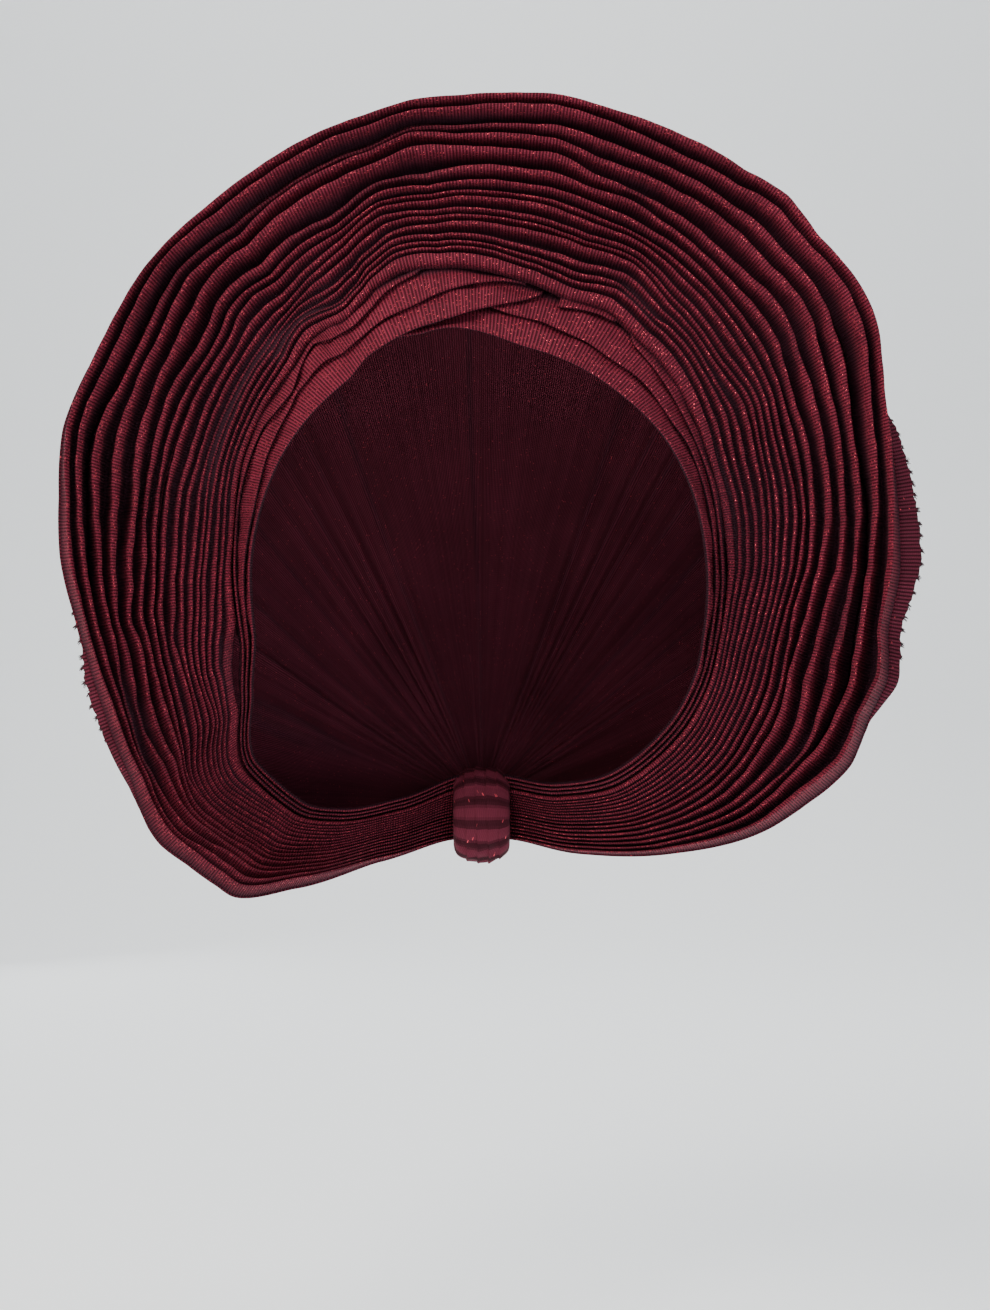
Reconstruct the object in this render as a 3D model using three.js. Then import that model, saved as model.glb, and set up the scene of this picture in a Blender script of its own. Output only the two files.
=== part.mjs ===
// A tied gele: one long stiff cloth wound round the head, pleated into a fan that
// frames the face from the nape, over the crown and back to the nape.
// Millimetres, +Z up, the wearer faces -Y. The origin is the middle of the wearer's head.
//
// Every cloth wall is worked out on half planes that turn about the fan's axis, a line
// along Y. A point on such a plane has a radius from the axis and a depth, its Y. The
// planes are numbered by their angle: 0 to the right of the picture, 90 straight up,
// 180 to the left, and about 270 down at the nape, where the cloth is tied.
import * as THREE from 'three';

// Driving sizes
const AXIS_HEIGHT = 15;        // of the fan's axis above the middle of the head
const BROW_RADIUS = 72;        // face opening at the forehead
const HEAD_HALF_DEPTH = 100;   // from the middle of the head to the forehead or the nape's back
const BROW_BAND = 25;          // smooth cloth that shows between forehead and pleats
const RIM_RADIUS = 160;        // outermost pleat
const FOLD_DEPTH = 10;         // deepest pleat, ridge to valley
const PLEAT_STEEPNESS = 1.25;  // depth of a pleat, in its pitch, up to FOLD_DEPTH
const FINE_STEEPNESS = 0.6;    // the same for the fine pleats next to the band
const CLOTH = 1.1;             // wall of one laid cloth
const FOLDED_CLOTH = 2.2;      // pleat wall, measured straight through the fan
const BACK_CLOTH = 1.8;        // wall of the cloth over the back of the head
const CLEARANCE = 0.35;        // between neighbouring pieces
const TUCKED = 6;              // cloth of each brow wrap that runs on under the pleats
const SELVEDGE_FLARE = 10.5;   // how far the loose selvedge stands out past the rim
const KNOT_HALF_HEIGHT = 19;
const KNOT_HALF_DEPTH = 12;
const KNOT_HALF_ANGLE = 6;     // degrees of the ring that the knot fills
const GATHER_HEIGHT = 2.6;     // soft gathers drawn from the rim to the knot

const NAPE_LEFT = 270 - KNOT_HALF_ANGLE;
const NAPE_RIGHT = -90 + KNOT_HALF_ANGLE;
const LAYER = CLOTH + CLEARANCE;

// Sections of the fan, left nape over the crown to right nape.
// brow: radius of the opening, in BROW_RADIUS. browY: its depth, in HEAD_HALF_DEPTH.
// lay: degrees that the band leans back along the head. band: its width, in BROW_BAND.
// rim: radius of the outermost pleat, in RIM_RADIUS. rimY: its depth, in HEAD_HALF_DEPTH.
// dish: how far the fan sags behind a straight line, in its own width.
// flare: loose selvedge past the rim, in SELVEDGE_FLARE.
const SECTIONS = [
  { at: 266, brow: 1.17, browY: 0.84, lay: 76, band: 0.16, rim: 0.70, rimY: 0.88, dish: 0.00, flare: -0.1 },
  { at: 251, brow: 1.36, browY: 0.74, lay: 74, band: 0.16, rim: 0.78, rimY: 0.70, dish: 0.03, flare: -0.1 },
  { at: 240, brow: 1.54, browY: 0.58, lay: 72, band: 0.16, rim: 0.88, rimY: 0.30, dish: 0.08, flare: -0.1 },
  { at: 233, brow: 1.61, browY: 0.49, lay: 70, band: 0.16, rim: 0.945, rimY: 0.12, dish: 0.10, flare: -0.1 },
  { at: 222, brow: 1.60, browY: 0.36, lay: 70, band: 0.16, rim: 0.945, rimY: -0.04, dish: 0.12, flare: 0.1 },
  { at: 210, brow: 1.37, browY: 0.16, lay: 70, band: 0.20, rim: 0.915, rimY: -0.16, dish: 0.13, flare: 0.45 },
  { at: 198, brow: 1.21, browY: 0.02, lay: 70, band: 0.32, rim: 0.895, rimY: -0.24, dish: 0.13, flare: 0.35 },
  { at: 180, brow: 1.135, browY: -0.16, lay: 70, band: 0.52, rim: 0.918, rimY: -0.32, dish: 0.12, flare: -0.2 },
  { at: 155, brow: 1.04, browY: -0.50, lay: 56, band: 0.80, rim: 0.948, rimY: -0.42, dish: 0.10, flare: -0.3 },
  { at: 125, brow: 0.985, browY: -0.70, lay: 44, band: 0.92, rim: 0.955, rimY: -0.52, dish: 0.09, flare: -0.3 },
  { at: 100, brow: 1.02, browY: -0.75, lay: 40, band: 0.96, rim: 0.976, rimY: -0.56, dish: 0.09, flare: -0.3 },
  { at: 75, brow: 0.945, browY: -0.75, lay: 40, band: 1.0, rim: 0.998, rimY: -0.54, dish: 0.09, flare: -0.3 },
  { at: 50, brow: 0.968, browY: -0.68, lay: 45, band: 0.98, rim: 1.014, rimY: -0.46, dish: 0.10, flare: -0.3 },
  { at: 32, brow: 1.02, browY: -0.56, lay: 54, band: 0.74, rim: 1.012, rimY: -0.39, dish: 0.11, flare: -0.2 },
  { at: 20, brow: 1.055, browY: -0.44, lay: 61, band: 0.60, rim: 0.962, rimY: -0.34, dish: 0.12, flare: 0.1 },
  { at: 0, brow: 1.125, browY: -0.16, lay: 70, band: 0.52, rim: 0.930, rimY: -0.28, dish: 0.14, flare: 1.0 },
  { at: -18, brow: 1.20, browY: 0.03, lay: 70, band: 0.36, rim: 0.938, rimY: -0.16, dish: 0.15, flare: 0.55 },
  { at: -28, brow: 1.26, browY: 0.14, lay: 70, band: 0.28, rim: 0.945, rimY: -0.08, dish: 0.13, flare: 0.05 },
  { at: -41, brow: 1.31, browY: 0.30, lay: 70, band: 0.24, rim: 0.920, rimY: 0.12, dish: 0.10, flare: -0.1 },
  { at: -57, brow: 1.33, browY: 0.50, lay: 72, band: 0.20, rim: 0.834, rimY: 0.42, dish: 0.06, flare: -0.1 },
  { at: -71, brow: 1.27, browY: 0.70, lay: 74, band: 0.16, rim: 0.76, rimY: 0.68, dish: 0.03, flare: -0.1 },
  { at: -86, brow: 1.17, browY: 0.84, lay: 76, band: 0.16, rim: 0.70, rimY: 0.88, dish: 0.00, flare: -0.1 },
];

// Where each pleat's ridge lies between the band (0) and the rim (1), at seven angles.
const PLEAT_ANGLES = { lowLeft: 215, left: 180, upLeft: 150, crown: 100, upRight: 60, right: 20, lowRight: -20 };
const PLEATS = [
  { group: 'rim', lowLeft: 0.975, left: 0.975, upLeft: 0.975, crown: 0.985, upRight: 0.980, right: 0.980, lowRight: 0.985 },
  { group: 'rim', lowLeft: 0.900, left: 0.895, upLeft: 0.885, crown: 0.925, upRight: 0.900, right: 0.875, lowRight: 0.860 },
  { group: 'broad', lowLeft: 0.825, left: 0.820, upLeft: 0.780, crown: 0.865, upRight: 0.800, right: 0.790, lowRight: 0.720 },
  { group: 'broad', lowLeft: 0.735, left: 0.720, upLeft: 0.700, crown: 0.805, upRight: 0.715, right: 0.700, lowRight: 0.605 },
  { group: 'broad', lowLeft: 0.645, left: 0.605, upLeft: 0.590, crown: 0.690, upRight: 0.615, right: 0.620, lowRight: 0.500 },
  { group: 'broad', lowLeft: 0.560, left: 0.520, upLeft: 0.490, crown: 0.560, upRight: 0.525, right: 0.550, lowRight: 0.425 },
  { group: 'broad', lowLeft: 0.490, left: 0.450, upLeft: 0.415, crown: 0.485, upRight: 0.450, right: 0.500, lowRight: 0.365 },
  { group: 'fine', lowLeft: 0.430, left: 0.390, upLeft: 0.360, crown: 0.440, upRight: 0.405, right: 0.455, lowRight: 0.315 },
  { group: 'fine', lowLeft: 0.370, left: 0.325, upLeft: 0.300, crown: 0.390, upRight: 0.365, right: 0.410, lowRight: 0.270 },
  { group: 'fine', lowLeft: 0.315, left: 0.275, upLeft: 0.250, crown: 0.330, upRight: 0.315, right: 0.365, lowRight: 0.230 },
  { group: 'fine', lowLeft: 0.265, left: 0.225, upLeft: 0.205, crown: 0.290, upRight: 0.275, right: 0.320, lowRight: 0.195 },
  { group: 'fine', lowLeft: 0.215, left: 0.180, upLeft: 0.160, crown: 0.245, upRight: 0.230, right: 0.275, lowRight: 0.160 },
  { group: 'fine', lowLeft: 0.170, left: 0.140, upLeft: 0.125, crown: 0.200, upRight: 0.185, right: 0.230, lowRight: 0.130 },
  { group: 'fine', lowLeft: 0.130, left: 0.105, upLeft: 0.090, crown: 0.155, upRight: 0.140, right: 0.185, lowRight: 0.100 },
  { group: 'fine', lowLeft: 0.095, left: 0.075, upLeft: 0.065, crown: 0.115, upRight: 0.100, right: 0.140, lowRight: 0.070 },
  { group: 'fine', lowLeft: 0.060, left: 0.050, upLeft: 0.040, crown: 0.075, upRight: 0.065, right: 0.090, lowRight: 0.045 },
];

// Creases that the stiff cloth takes across the pleats. from and to: the stretch between
// band (0) and rim (1) that bends. spread: degrees each way. push: outwards, in FOLD_DEPTH.
const CREASES = [
  { at: 233, spread: 7, from: 0.6, to: 1.0, push: 0.28 },
  { at: 222, spread: 9, from: 0.1, to: 1.0, push: 0.34 },
  { at: 203, spread: 9, from: -0.1, to: 0.25, push: 0.30 },
  { at: 189, spread: 9, from: 0.4, to: 1.0, push: -0.12 },
  { at: 163, spread: 9, from: 0.6, to: 1.0, push: 0.18 },
  { at: 136, spread: 9, from: 0.35, to: 0.93, push: 0.34 },
  { at: 128, spread: 7, from: -0.4, to: 0.2, push: 0.36 },
  { at: 119, spread: 7, from: -0.4, to: 0.3, push: -0.42 },
  { at: 106, spread: 8, from: 0.0, to: 0.6, push: 0.36 },
  { at: 99, spread: 6, from: 0.65, to: 0.95, push: 0.28 },
  { at: 80, spread: 7, from: 0.6, to: 1.0, push: 0.12 },
  { at: 72, spread: 6, from: 0.55, to: 0.75, push: -0.26 },
  { at: 62, spread: 9, from: -0.3, to: 0.4, push: 0.36 },
  { at: 49, spread: 6, from: 0.8, to: 1.0, push: 0.26 },
  { at: 35, spread: 9, from: 0.45, to: 1.0, push: 0.20 },
  { at: -9, spread: 7, from: 0.55, to: 1.0, push: -0.20 },
  { at: -17, spread: 6, from: 0.65, to: 1.0, push: 0.22 },
  { at: -29, spread: 7, from: 0.8, to: 1.0, push: 0.18 },
];

// Wraps of smooth cloth over the brow, the one next to the skin first. from and to: where
// each runs. side and cross: how many layers lie under it beside the face and over the brow.
// Its lower edge lies between the opening (0) and the pleats (1) at each angle.
const BROW_ANGLES = { lowLeft: 215, left: 180, upLeft: 150, browLeft: 125, crown: 100, browRight: 86, upRight: 60, right: 20, lowRight: -20 };
const BROW_WRAPS = [
  { name: 'brow_wrap_right_1', from: 119, to: NAPE_RIGHT, side: 0, cross: 0,
    lowLeft: 0, left: 0, upLeft: 0, browLeft: 0, crown: 0, browRight: 0, upRight: 0, right: 0, lowRight: 0 },
  { name: 'brow_wrap_right_2', from: 99, to: NAPE_RIGHT, side: 1, cross: 1,
    lowLeft: 0.6, left: 0.6, upLeft: 0.6, browLeft: 0.6, crown: 0.58, browRight: 0.5, upRight: 0.40, right: 0.45, lowRight: 0.4 },
  { name: 'brow_wrap_right_3', from: 72, to: NAPE_RIGHT, side: 2, cross: 2,
    lowLeft: 0.9, left: 0.9, upLeft: 0.9, browLeft: 0.9, crown: 0.9, browRight: 0.9, upRight: 0.66, right: 0.78, lowRight: 0.7 },
  { name: 'brow_wrap_left_1', from: NAPE_LEFT, to: 76, side: 0, cross: 2,
    lowLeft: 0, left: 0, upLeft: 0, browLeft: 0, crown: 0.02, browRight: 0.48, upRight: 2.0, right: 2.0, lowRight: 2.0 },
  { name: 'brow_wrap_left_2', from: NAPE_LEFT, to: 80, side: 1, cross: 3,
    lowLeft: 0.35, left: 0.38, upLeft: 0.40, browLeft: 0.50, crown: 0.54, browRight: 0.86, upRight: 1.4, right: 1.4, lowRight: 1.4 },
  { name: 'brow_wrap_left_3', from: NAPE_LEFT, to: 119, side: 2, cross: 4,
    lowLeft: 0.70, left: 0.68, upLeft: 0.70, browLeft: 0.86, crown: 1.1, browRight: 1.4, upRight: 1.4, right: 1.4, lowRight: 1.4 },
];
// The left wraps climb over the right ones between foot and top, and are gone by end.
const CROSSING = { foot: 128, top: 119, lastTop: 80, end: 68 };
const MOST_LAYERS = { side: 3, cross: 5 };

const radians = THREE.MathUtils.degToRad;
const { lerp, clamp, smoothstep } = THREE.MathUtils;

// Smooth curve through the values of one column, given the column's angles in falling order.
function alongRing(angles, values, angle) {
  const last = angles.length - 1;
  if (angle >= angles[0]) return values[0];
  if (angle <= angles[last]) return values[last];
  let i = 0;
  while (angle < angles[i + 1]) i += 1;
  const slope = (k) => {
    if (k === 0 || k === last) return 0;
    const before = (values[k] - values[k - 1]) / (angles[k] - angles[k - 1]);
    const after = (values[k + 1] - values[k]) / (angles[k + 1] - angles[k]);
    return before * after > 0 ? (2 * before * after) / (before + after) : 0;
  };
  const step = angles[i + 1] - angles[i];
  const t = (angle - angles[i]) / step;
  const ease = t * t * (3 - 2 * t);
  return values[i] * (1 - ease) + values[i + 1] * ease
    + step * (slope(i) * t * (1 - t) ** 2 - slope(i + 1) * t * t * (1 - t));
}

function column(rows, name, angle) {
  return alongRing(rows.map((row) => row.at), rows.map((row) => row[name]), angle);
}

function rowAt(row, anglesByName, angle) {
  const names = Object.keys(anglesByName);
  return alongRing(names.map((name) => anglesByName[name]), names.map((name) => row[name]), angle);
}

// How far the creases push a fold outwards, at a share of the way from band to rim.
function creasePush(angle, share) {
  const edge = 0.12;
  return CREASES.reduce((sum, crease) => {
    const near = 1 - Math.abs(angle - crease.at) / crease.spread;
    if (near <= 0) return sum;
    const inside = smoothstep(share, crease.from - edge, crease.from + edge)
      * (crease.to >= 1 ? 1 : 1 - smoothstep(share, crease.to - edge, crease.to + edge));
    return sum + crease.push * FOLD_DEPTH * near * inside;
  }, 0);
}

const climbed = (angle) => 1 - smoothstep(angle, CROSSING.top, CROSSING.foot);
const crossed = (angle) => climbed(angle) * smoothstep(angle, CROSSING.end, CROSSING.lastTop);

// The section at one angle: the brow edge, the band's direction along the head and away
// from it, and the fan's base line from the tuck to the rim with its own two directions.
function section(angle) {
  const value = (name) => column(SECTIONS, name, angle);
  const lean = radians(value('lay'));
  const brow = new THREE.Vector2(value('brow') * BROW_RADIUS, value('browY') * HEAD_HALF_DEPTH);
  const bandAlong = new THREE.Vector2(Math.cos(lean), Math.sin(lean));
  const bandOut = new THREE.Vector2(Math.sin(lean), -Math.cos(lean));
  const tuckPush = creasePush(angle, -0.2);
  const bandWidth = value('band') * BROW_BAND + tuckPush;
  const layers = lerp(MOST_LAYERS.side, MOST_LAYERS.cross, crossed(angle));
  const tuck = brow.clone().addScaledVector(bandAlong, bandWidth)
    .addScaledVector(bandOut, layers * LAYER + CLOTH + CLEARANCE);
  const rim = new THREE.Vector2(value('rim') * RIM_RADIUS, value('rimY') * HEAD_HALF_DEPTH);
  const fanAlong = rim.clone().sub(tuck).normalize();
  const fanOut = new THREE.Vector2(fanAlong.y, -fanAlong.x);
  const fanWidth = rim.distanceTo(tuck);
  const belly = value('dish') * fanWidth;
  return {
    angle, brow, tuckPush, bandAlong, bandOut, bandWidth, tuck, rim, fanAlong, fanOut, fanWidth, belly,
  };
}

// A point of the section's plane, share of the way from tuck to rim, height in front.
function fanPoint(cut, share, height) {
  const dished = height - 4 * cut.belly * share * (1 - share);
  const along = share * cut.fanWidth + creasePush(cut.angle, share) - cut.tuckPush * (1 - share);
  return cut.tuck.clone().addScaledVector(cut.fanAlong, along).addScaledVector(cut.fanOut, dished);
}

function bandPoint(cut, along, height) {
  return cut.brow.clone().addScaledVector(cut.bandAlong, along).addScaledVector(cut.bandOut, height);
}

// From the section's plane into space.
function inSpace(point, angle) {
  const turn = radians(angle);
  return new THREE.Vector3(
    point.x * Math.cos(turn), point.y, AXIS_HEIGHT + point.x * Math.sin(turn));
}

// Angles of the ring that all cloths share, with one on every crease and wrap end.
function ringAngles(widestStep) {
  const ends = BROW_WRAPS.flatMap((wrap) => [wrap.from, wrap.to]);
  const marks = [...new Set([...ends, ...CREASES.map((crease) => crease.at)])];
  marks.sort((a, b) => b - a);
  const angles = [marks[0]];
  for (let i = 1; i < marks.length; i += 1) {
    const steps = Math.ceil((marks[i - 1] - marks[i]) / widestStep);
    for (let k = 1; k <= steps; k += 1) angles.push(lerp(marks[i - 1], marks[i], k / steps));
  }
  return angles;
}
const RING = ringAngles(9);
const stations = (from, to) => RING.filter((angle) => angle <= from && angle >= to);

// Closed solid skinned over loops of points with equal counts, with flat end caps.
function skin(loops, capPoints) {
  const count = loops[0].length;
  const positions = loops.flat().flatMap((p) => [p.x, p.y, p.z]);
  const index = [];
  const quad = (a, b, c, d) => index.push(a, b, c, a, c, d);
  for (let i = 0; i + 1 < loops.length; i += 1) {
    for (let k = 0; k < count; k += 1) {
      const next = (k + 1) % count;
      quad(i * count + k, i * count + next, (i + 1) * count + next, (i + 1) * count + k);
    }
  }
  const cap = (loop, offset, last) => {
    const flip = last === THREE.ShapeUtils.isClockWise(loop);
    THREE.ShapeUtils.triangulateShape(loop, []).forEach(([a, b, c]) => {
      index.push(offset + a, offset + (flip ? c : b), offset + (flip ? b : c));
    });
  };
  cap(capPoints[0], 0, false);
  cap(capPoints[1], (loops.length - 1) * count, true);
  const geometry = new THREE.BufferGeometry();
  geometry.setAttribute('position', new THREE.Float32BufferAttribute(positions, 3));
  geometry.setIndex(index);
  return outwards(geometry);
}

// The same solid with its faces turned to point outwards.
function outwards(geometry) {
  const p = geometry.getAttribute('position');
  const index = geometry.getIndex();
  const corner = [new THREE.Vector3(), new THREE.Vector3(), new THREE.Vector3()];
  let volume = 0;
  for (let i = 0; i < index.count; i += 3) {
    corner.forEach((v, k) => v.fromBufferAttribute(p, index.getX(i + k)));
    volume += corner[0].dot(corner[1].clone().cross(corner[2]));
  }
  if (volume < 0) {
    for (let i = 0; i < index.count; i += 3) {
      const second = index.getX(i + 1);
      index.setX(i + 1, index.getX(i + 2));
      index.setX(i + 2, second);
    }
  }
  geometry.computeVertexNormals();
  return geometry;
}

function skinSections(angles, loopAt) {
  const flat = angles.map(loopAt);
  return skin(flat.map((loop, i) => loop.map((p) => inSpace(p, angles[i]))), [flat[0], flat.at(-1)]);
}

// Shares of the ridges at one angle, the outermost first, and the valleys between them.
function pleatShares(angle) {
  return PLEATS.map((pleat) => rowAt(pleat, PLEAT_ANGLES, angle));
}

// Depth of a pleat, ridge to valley. The fine pleats lie flatter than the others.
function pleatDepth(cut, pitch, steepness = PLEAT_STEEPNESS) {
  return Math.min(FOLD_DEPTH, steepness * pitch * cut.fanWidth);
}

function pleatWall(cut) {
  return Math.min(FOLDED_CLOTH, Math.max(CLOTH, 0.06 * cut.fanWidth));
}

// One group of neighbouring pleats as a zigzag wall: ridges forward, valleys back.
function pleatGroup(group, crest, smoothBack) {
  const first = PLEATS.findIndex((pleat) => pleat.group === group);
  const last = PLEATS.findLastIndex((pleat) => pleat.group === group);
  return (angle) => {
    const cut = section(angle);
    const shares = pleatShares(angle);
    const seam = CLEARANCE / 2 / cut.fanWidth;
    const valley = (k) => {
      if (k < 0) return { share: 1, depth: pleatDepth(cut, 2 * (1 - shares[0])) };
      if (k >= PLEATS.length - 1) return { share: 0, depth: 0 };
      const steepness = PLEATS[k + 1].group === 'fine' ? FINE_STEEPNESS : PLEAT_STEEPNESS;
      const depth = pleatDepth(cut, shares[k] - shares[k + 1], steepness);
      return { share: (shares[k] + shares[k + 1]) / 2, depth };
    };
    const front = [];
    const start = valley(first - 1);
    front.push([start.share - (first > 0 ? seam : 0), -start.depth / 2]);
    for (let k = first; k <= last; k += 1) {
      const outer = valley(k - 1);
      const inner = valley(k);
      const height = Math.max(outer.depth, inner.depth) / 2;
      if (crest > 0) {
        front.push([lerp(shares[k], outer.share, crest), height]);
        front.push([lerp(shares[k], inner.share, crest), height]);
      } else {
        front.push([shares[k], height]);
      }
      const edge = k === last && k < PLEATS.length - 1 ? seam : 0;
      front.push([inner.share + edge, -inner.depth / 2]);
    }
    let back = front.map(([share, height]) => [share, height - pleatWall(cut)]);
    if (smoothBack) {
      const outer = front[0][0];
      const inner = front.at(-1)[0];
      back = [0, 1, 2, 3, 4].map((k) => {
        const share = lerp(outer, inner, k / 4);
        const deepest = pleatDepth(cut, shares[first] - shares[first + 1], FINE_STEEPNESS);
        return [share, (k === 4 ? 0 : -deepest / 2) - CLOTH];
      });
    }
    return [...front, ...back.reverse()].map(([share, height]) => fanPoint(cut, share, height));
  };
}

function browWrap(wrap) {
  return (angle) => {
    const cut = section(angle);
    const edge = Math.min(rowAt(wrap, BROW_ANGLES, angle) * cut.bandWidth, cut.bandWidth + TUCKED - 1);
    const layer = lerp(wrap.side, wrap.cross, climbed(angle));
    const height = layer * LAYER;
    const end = cut.bandWidth + TUCKED;
    const runs = [edge, (edge + end) / 2, end];
    const inner = runs.map((run) => bandPoint(cut, run, height));
    const outer = runs.map((run) => bandPoint(cut, run, height + CLOTH));
    return [...inner, ...outer.reverse()];
  };
}

// The back cloth runs from the loose selvedge behind the rim to the top of the knot. Each of
// its lines is a cubic curve that leaves the rim backwards and reaches the knot from above.
function backLine(angle) {
  const around = (NAPE_LEFT - angle) / (NAPE_LEFT - NAPE_RIGHT);
  const cut = section(angle);
  const shares = pleatShares(angle);
  const rimFold = pleatDepth(cut, shares[0] - shares[1]);
  const behind = rimFold / 2 + pleatWall(cut) + 2 * CLEARANCE + BACK_CLOTH;
  const rim = fanPoint(cut, 1, 0);
  const along = rim.clone().sub(fanPoint(cut, 0.92, 0)).normalize();
  const out = new THREE.Vector2(along.y, -along.x);
  const flare = column(SECTIONS, 'flare', angle) * SELVEDGE_FLARE;
  const edge = rim.addScaledVector(out, -behind).addScaledVector(along, (flare + behind * out.x) / along.x);
  const start = inSpace(edge, angle);
  const turn = Math.PI * around;
  const knot = knotCentre();
  const end = new THREE.Vector3(
    knot.x - Math.cos(turn) * KNOT_HALF_HEIGHT * 0.6,
    knot.y + KNOT_HALF_DEPTH * 0.62,
    knot.z + Math.sin(turn) * KNOT_HALF_HEIGHT);
  const reach = start.distanceTo(end);
  const inward = new THREE.Vector3(-start.x, 0, AXIS_HEIGHT - start.z).normalize();
  const turnIn = lerp(-0.12, 0.22, smoothstep(start.z, -BROW_RADIUS * 1.5, -BROW_RADIUS * 0.8));
  const leaving = new THREE.Vector3(0, 0.97, 0).addScaledVector(inward, turnIn).normalize();
  const outward = new THREE.Vector3(start.x - end.x, 0, start.z - end.z).normalize();
  const rise = radians(20) * Math.max(0.35, outward.z);
  const arriving = outward.multiplyScalar(Math.cos(rise)).add(new THREE.Vector3(0, Math.sin(rise), 0));
  return new THREE.CubicBezierCurve3(
    start,
    start.clone().addScaledVector(leaving, 0.43 * reach),
    end.clone().addScaledVector(arriving, 0.47 * reach),
    end);
}

function knotCentre() {
  const cut = section(270);
  const middle = cut.tuck.clone().lerp(cut.rim, 0.5);
  return inSpace(new THREE.Vector2(middle.x, middle.y), 270);
}

// Closed shell between an outer grid of points and the same grid moved in by the wall.
function shell(outer, inner) {
  const rows = outer.length;
  const across = outer[0].length;
  const positions = [...outer.flat(), ...inner.flat()].flatMap((p) => [p.x, p.y, p.z]);
  const id = (side, i, k) => side * rows * across + i * across + k;
  const index = [];
  const quad = (a, b, c, d) => index.push(a, b, c, a, c, d);
  for (let i = 0; i + 1 < rows; i += 1) {
    for (let k = 0; k + 1 < across; k += 1) {
      quad(id(0, i, k), id(0, i, k + 1), id(0, i + 1, k + 1), id(0, i + 1, k));
      quad(id(1, i, k), id(1, i + 1, k), id(1, i + 1, k + 1), id(1, i, k + 1));
    }
  }
  for (let i = 0; i + 1 < rows; i += 1) {
    quad(id(0, i, 0), id(0, i + 1, 0), id(1, i + 1, 0), id(1, i, 0));
    quad(id(0, i, across - 1), id(1, i, across - 1), id(1, i + 1, across - 1), id(0, i + 1, across - 1));
  }
  for (let k = 0; k + 1 < across; k += 1) {
    quad(id(0, 0, k), id(1, 0, k), id(1, 0, k + 1), id(0, 0, k + 1));
    quad(id(0, rows - 1, k), id(0, rows - 1, k + 1), id(1, rows - 1, k + 1), id(1, rows - 1, k));
  }
  const geometry = new THREE.BufferGeometry();
  geometry.setAttribute('position', new THREE.Float32BufferAttribute(positions, 3));
  geometry.setIndex(index);
  return outwards(geometry);
}

function backWrapGeometry() {
  const lines = RING.slice(1, -1).map(backLine);
  const across = lines.length - 1;
  const along = 10;
  const grid = Array.from({ length: along + 1 }, (_, i) => lines.map((line) => line.getPoint(i / along)));
  const at = (i, k) => grid[clamp(i, 0, along)][clamp(k, 0, across)];
  const surface = (i, k, height) => {
    const down = at(i + 1, k).clone().sub(at(i - 1, k));
    const round = at(i, k + 1).clone().sub(at(i, k - 1));
    return at(i, k).clone().addScaledVector(down.cross(round).normalize(), height);
  };
  const gather = (i, k) => {
    const t = i / along;
    return GATHER_HEIGHT * (0.15 + 3.4 * t * (1 - t) ** 1.5) * Math.cos((2 * Math.PI * k) / 3) * (1 - 0.5 * t);
  };
  const layer = (drop) => grid.map((row, i) => row.map((_, k) => surface(i, k, gather(i, k) - drop)));
  return shell(layer(0), layer(BACK_CLOTH));
}

function knotGeometry() {
  const sides = 16;
  const centre = section(270).tuck.clone().lerp(section(270).rim, 0.5);
  const gap = THREE.MathUtils.radToDeg(CLEARANCE / centre.x);
  const angles = [-1, -0.6, 0, 0.6, 1].map((k) => 270 - k * (KNOT_HALF_ANGLE - gap));
  const loops = angles.map((angle, i) => {
    const plump = [0.84, 0.96, 1, 0.96, 0.84][i];
    return Array.from({ length: sides }, (_, k) => {
      const turn = (2 * Math.PI * k) / sides;
      return new THREE.Vector2(
        centre.x + Math.cos(turn) * KNOT_HALF_HEIGHT * plump,
        centre.y + Math.sin(turn) * KNOT_HALF_DEPTH * plump);
    });
  });
  return skin(loops.map((loop, i) => loop.map((p) => inSpace(p, angles[i]))), [loops[0], loops.at(-1)]);
}

function cloth(color, roughness) {
  return new THREE.MeshStandardMaterial({ color, roughness, metalness: 0.1, side: THREE.DoubleSide });
}
const wine = cloth(0x6b1f2c, 0.6);
const deepWine = cloth(0x571a27, 0.65);

const gele = new THREE.Group();
function add(name, geometry, material) {
  const mesh = new THREE.Mesh(geometry, material);
  mesh.name = name;
  gele.add(mesh);
}

add('rim_pleats', skinSections(RING, pleatGroup('rim', 0.35, false)), wine);
add('broad_pleats', skinSections(RING, pleatGroup('broad', 0.3, false)), wine);
add('fine_pleats', skinSections(RING, pleatGroup('fine', 0, true)), wine);
BROW_WRAPS.forEach((wrap) => {
  add(wrap.name, skinSections(stations(wrap.from, wrap.to), browWrap(wrap)), wine);
});
add('back_wrap', backWrapGeometry(), deepWine);
add('nape_knot', knotGeometry(), deepWine);

export default gele;
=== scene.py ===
"""Dresses the tied gele: pleated fan, brow wraps, gathered back, nape knot, loose selvedge."""

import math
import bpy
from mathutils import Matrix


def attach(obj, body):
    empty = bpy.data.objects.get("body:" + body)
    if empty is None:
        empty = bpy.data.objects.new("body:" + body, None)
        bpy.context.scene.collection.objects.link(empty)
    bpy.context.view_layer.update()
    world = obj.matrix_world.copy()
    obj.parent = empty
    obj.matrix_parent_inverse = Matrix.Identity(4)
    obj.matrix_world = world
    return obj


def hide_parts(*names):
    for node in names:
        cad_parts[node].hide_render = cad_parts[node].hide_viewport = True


bl_info = {
    "name": "Tied gele head tie",
    "version": (1, 0, 0),
    "blender": (4, 5, 0),
    "location": "3D View > Sidebar > Gele",
    "description": "Cloth surfaces and finishes of a pleated and tied gele head tie",
    "category": "Object",
}

import bpy
import numpy as np

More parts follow.
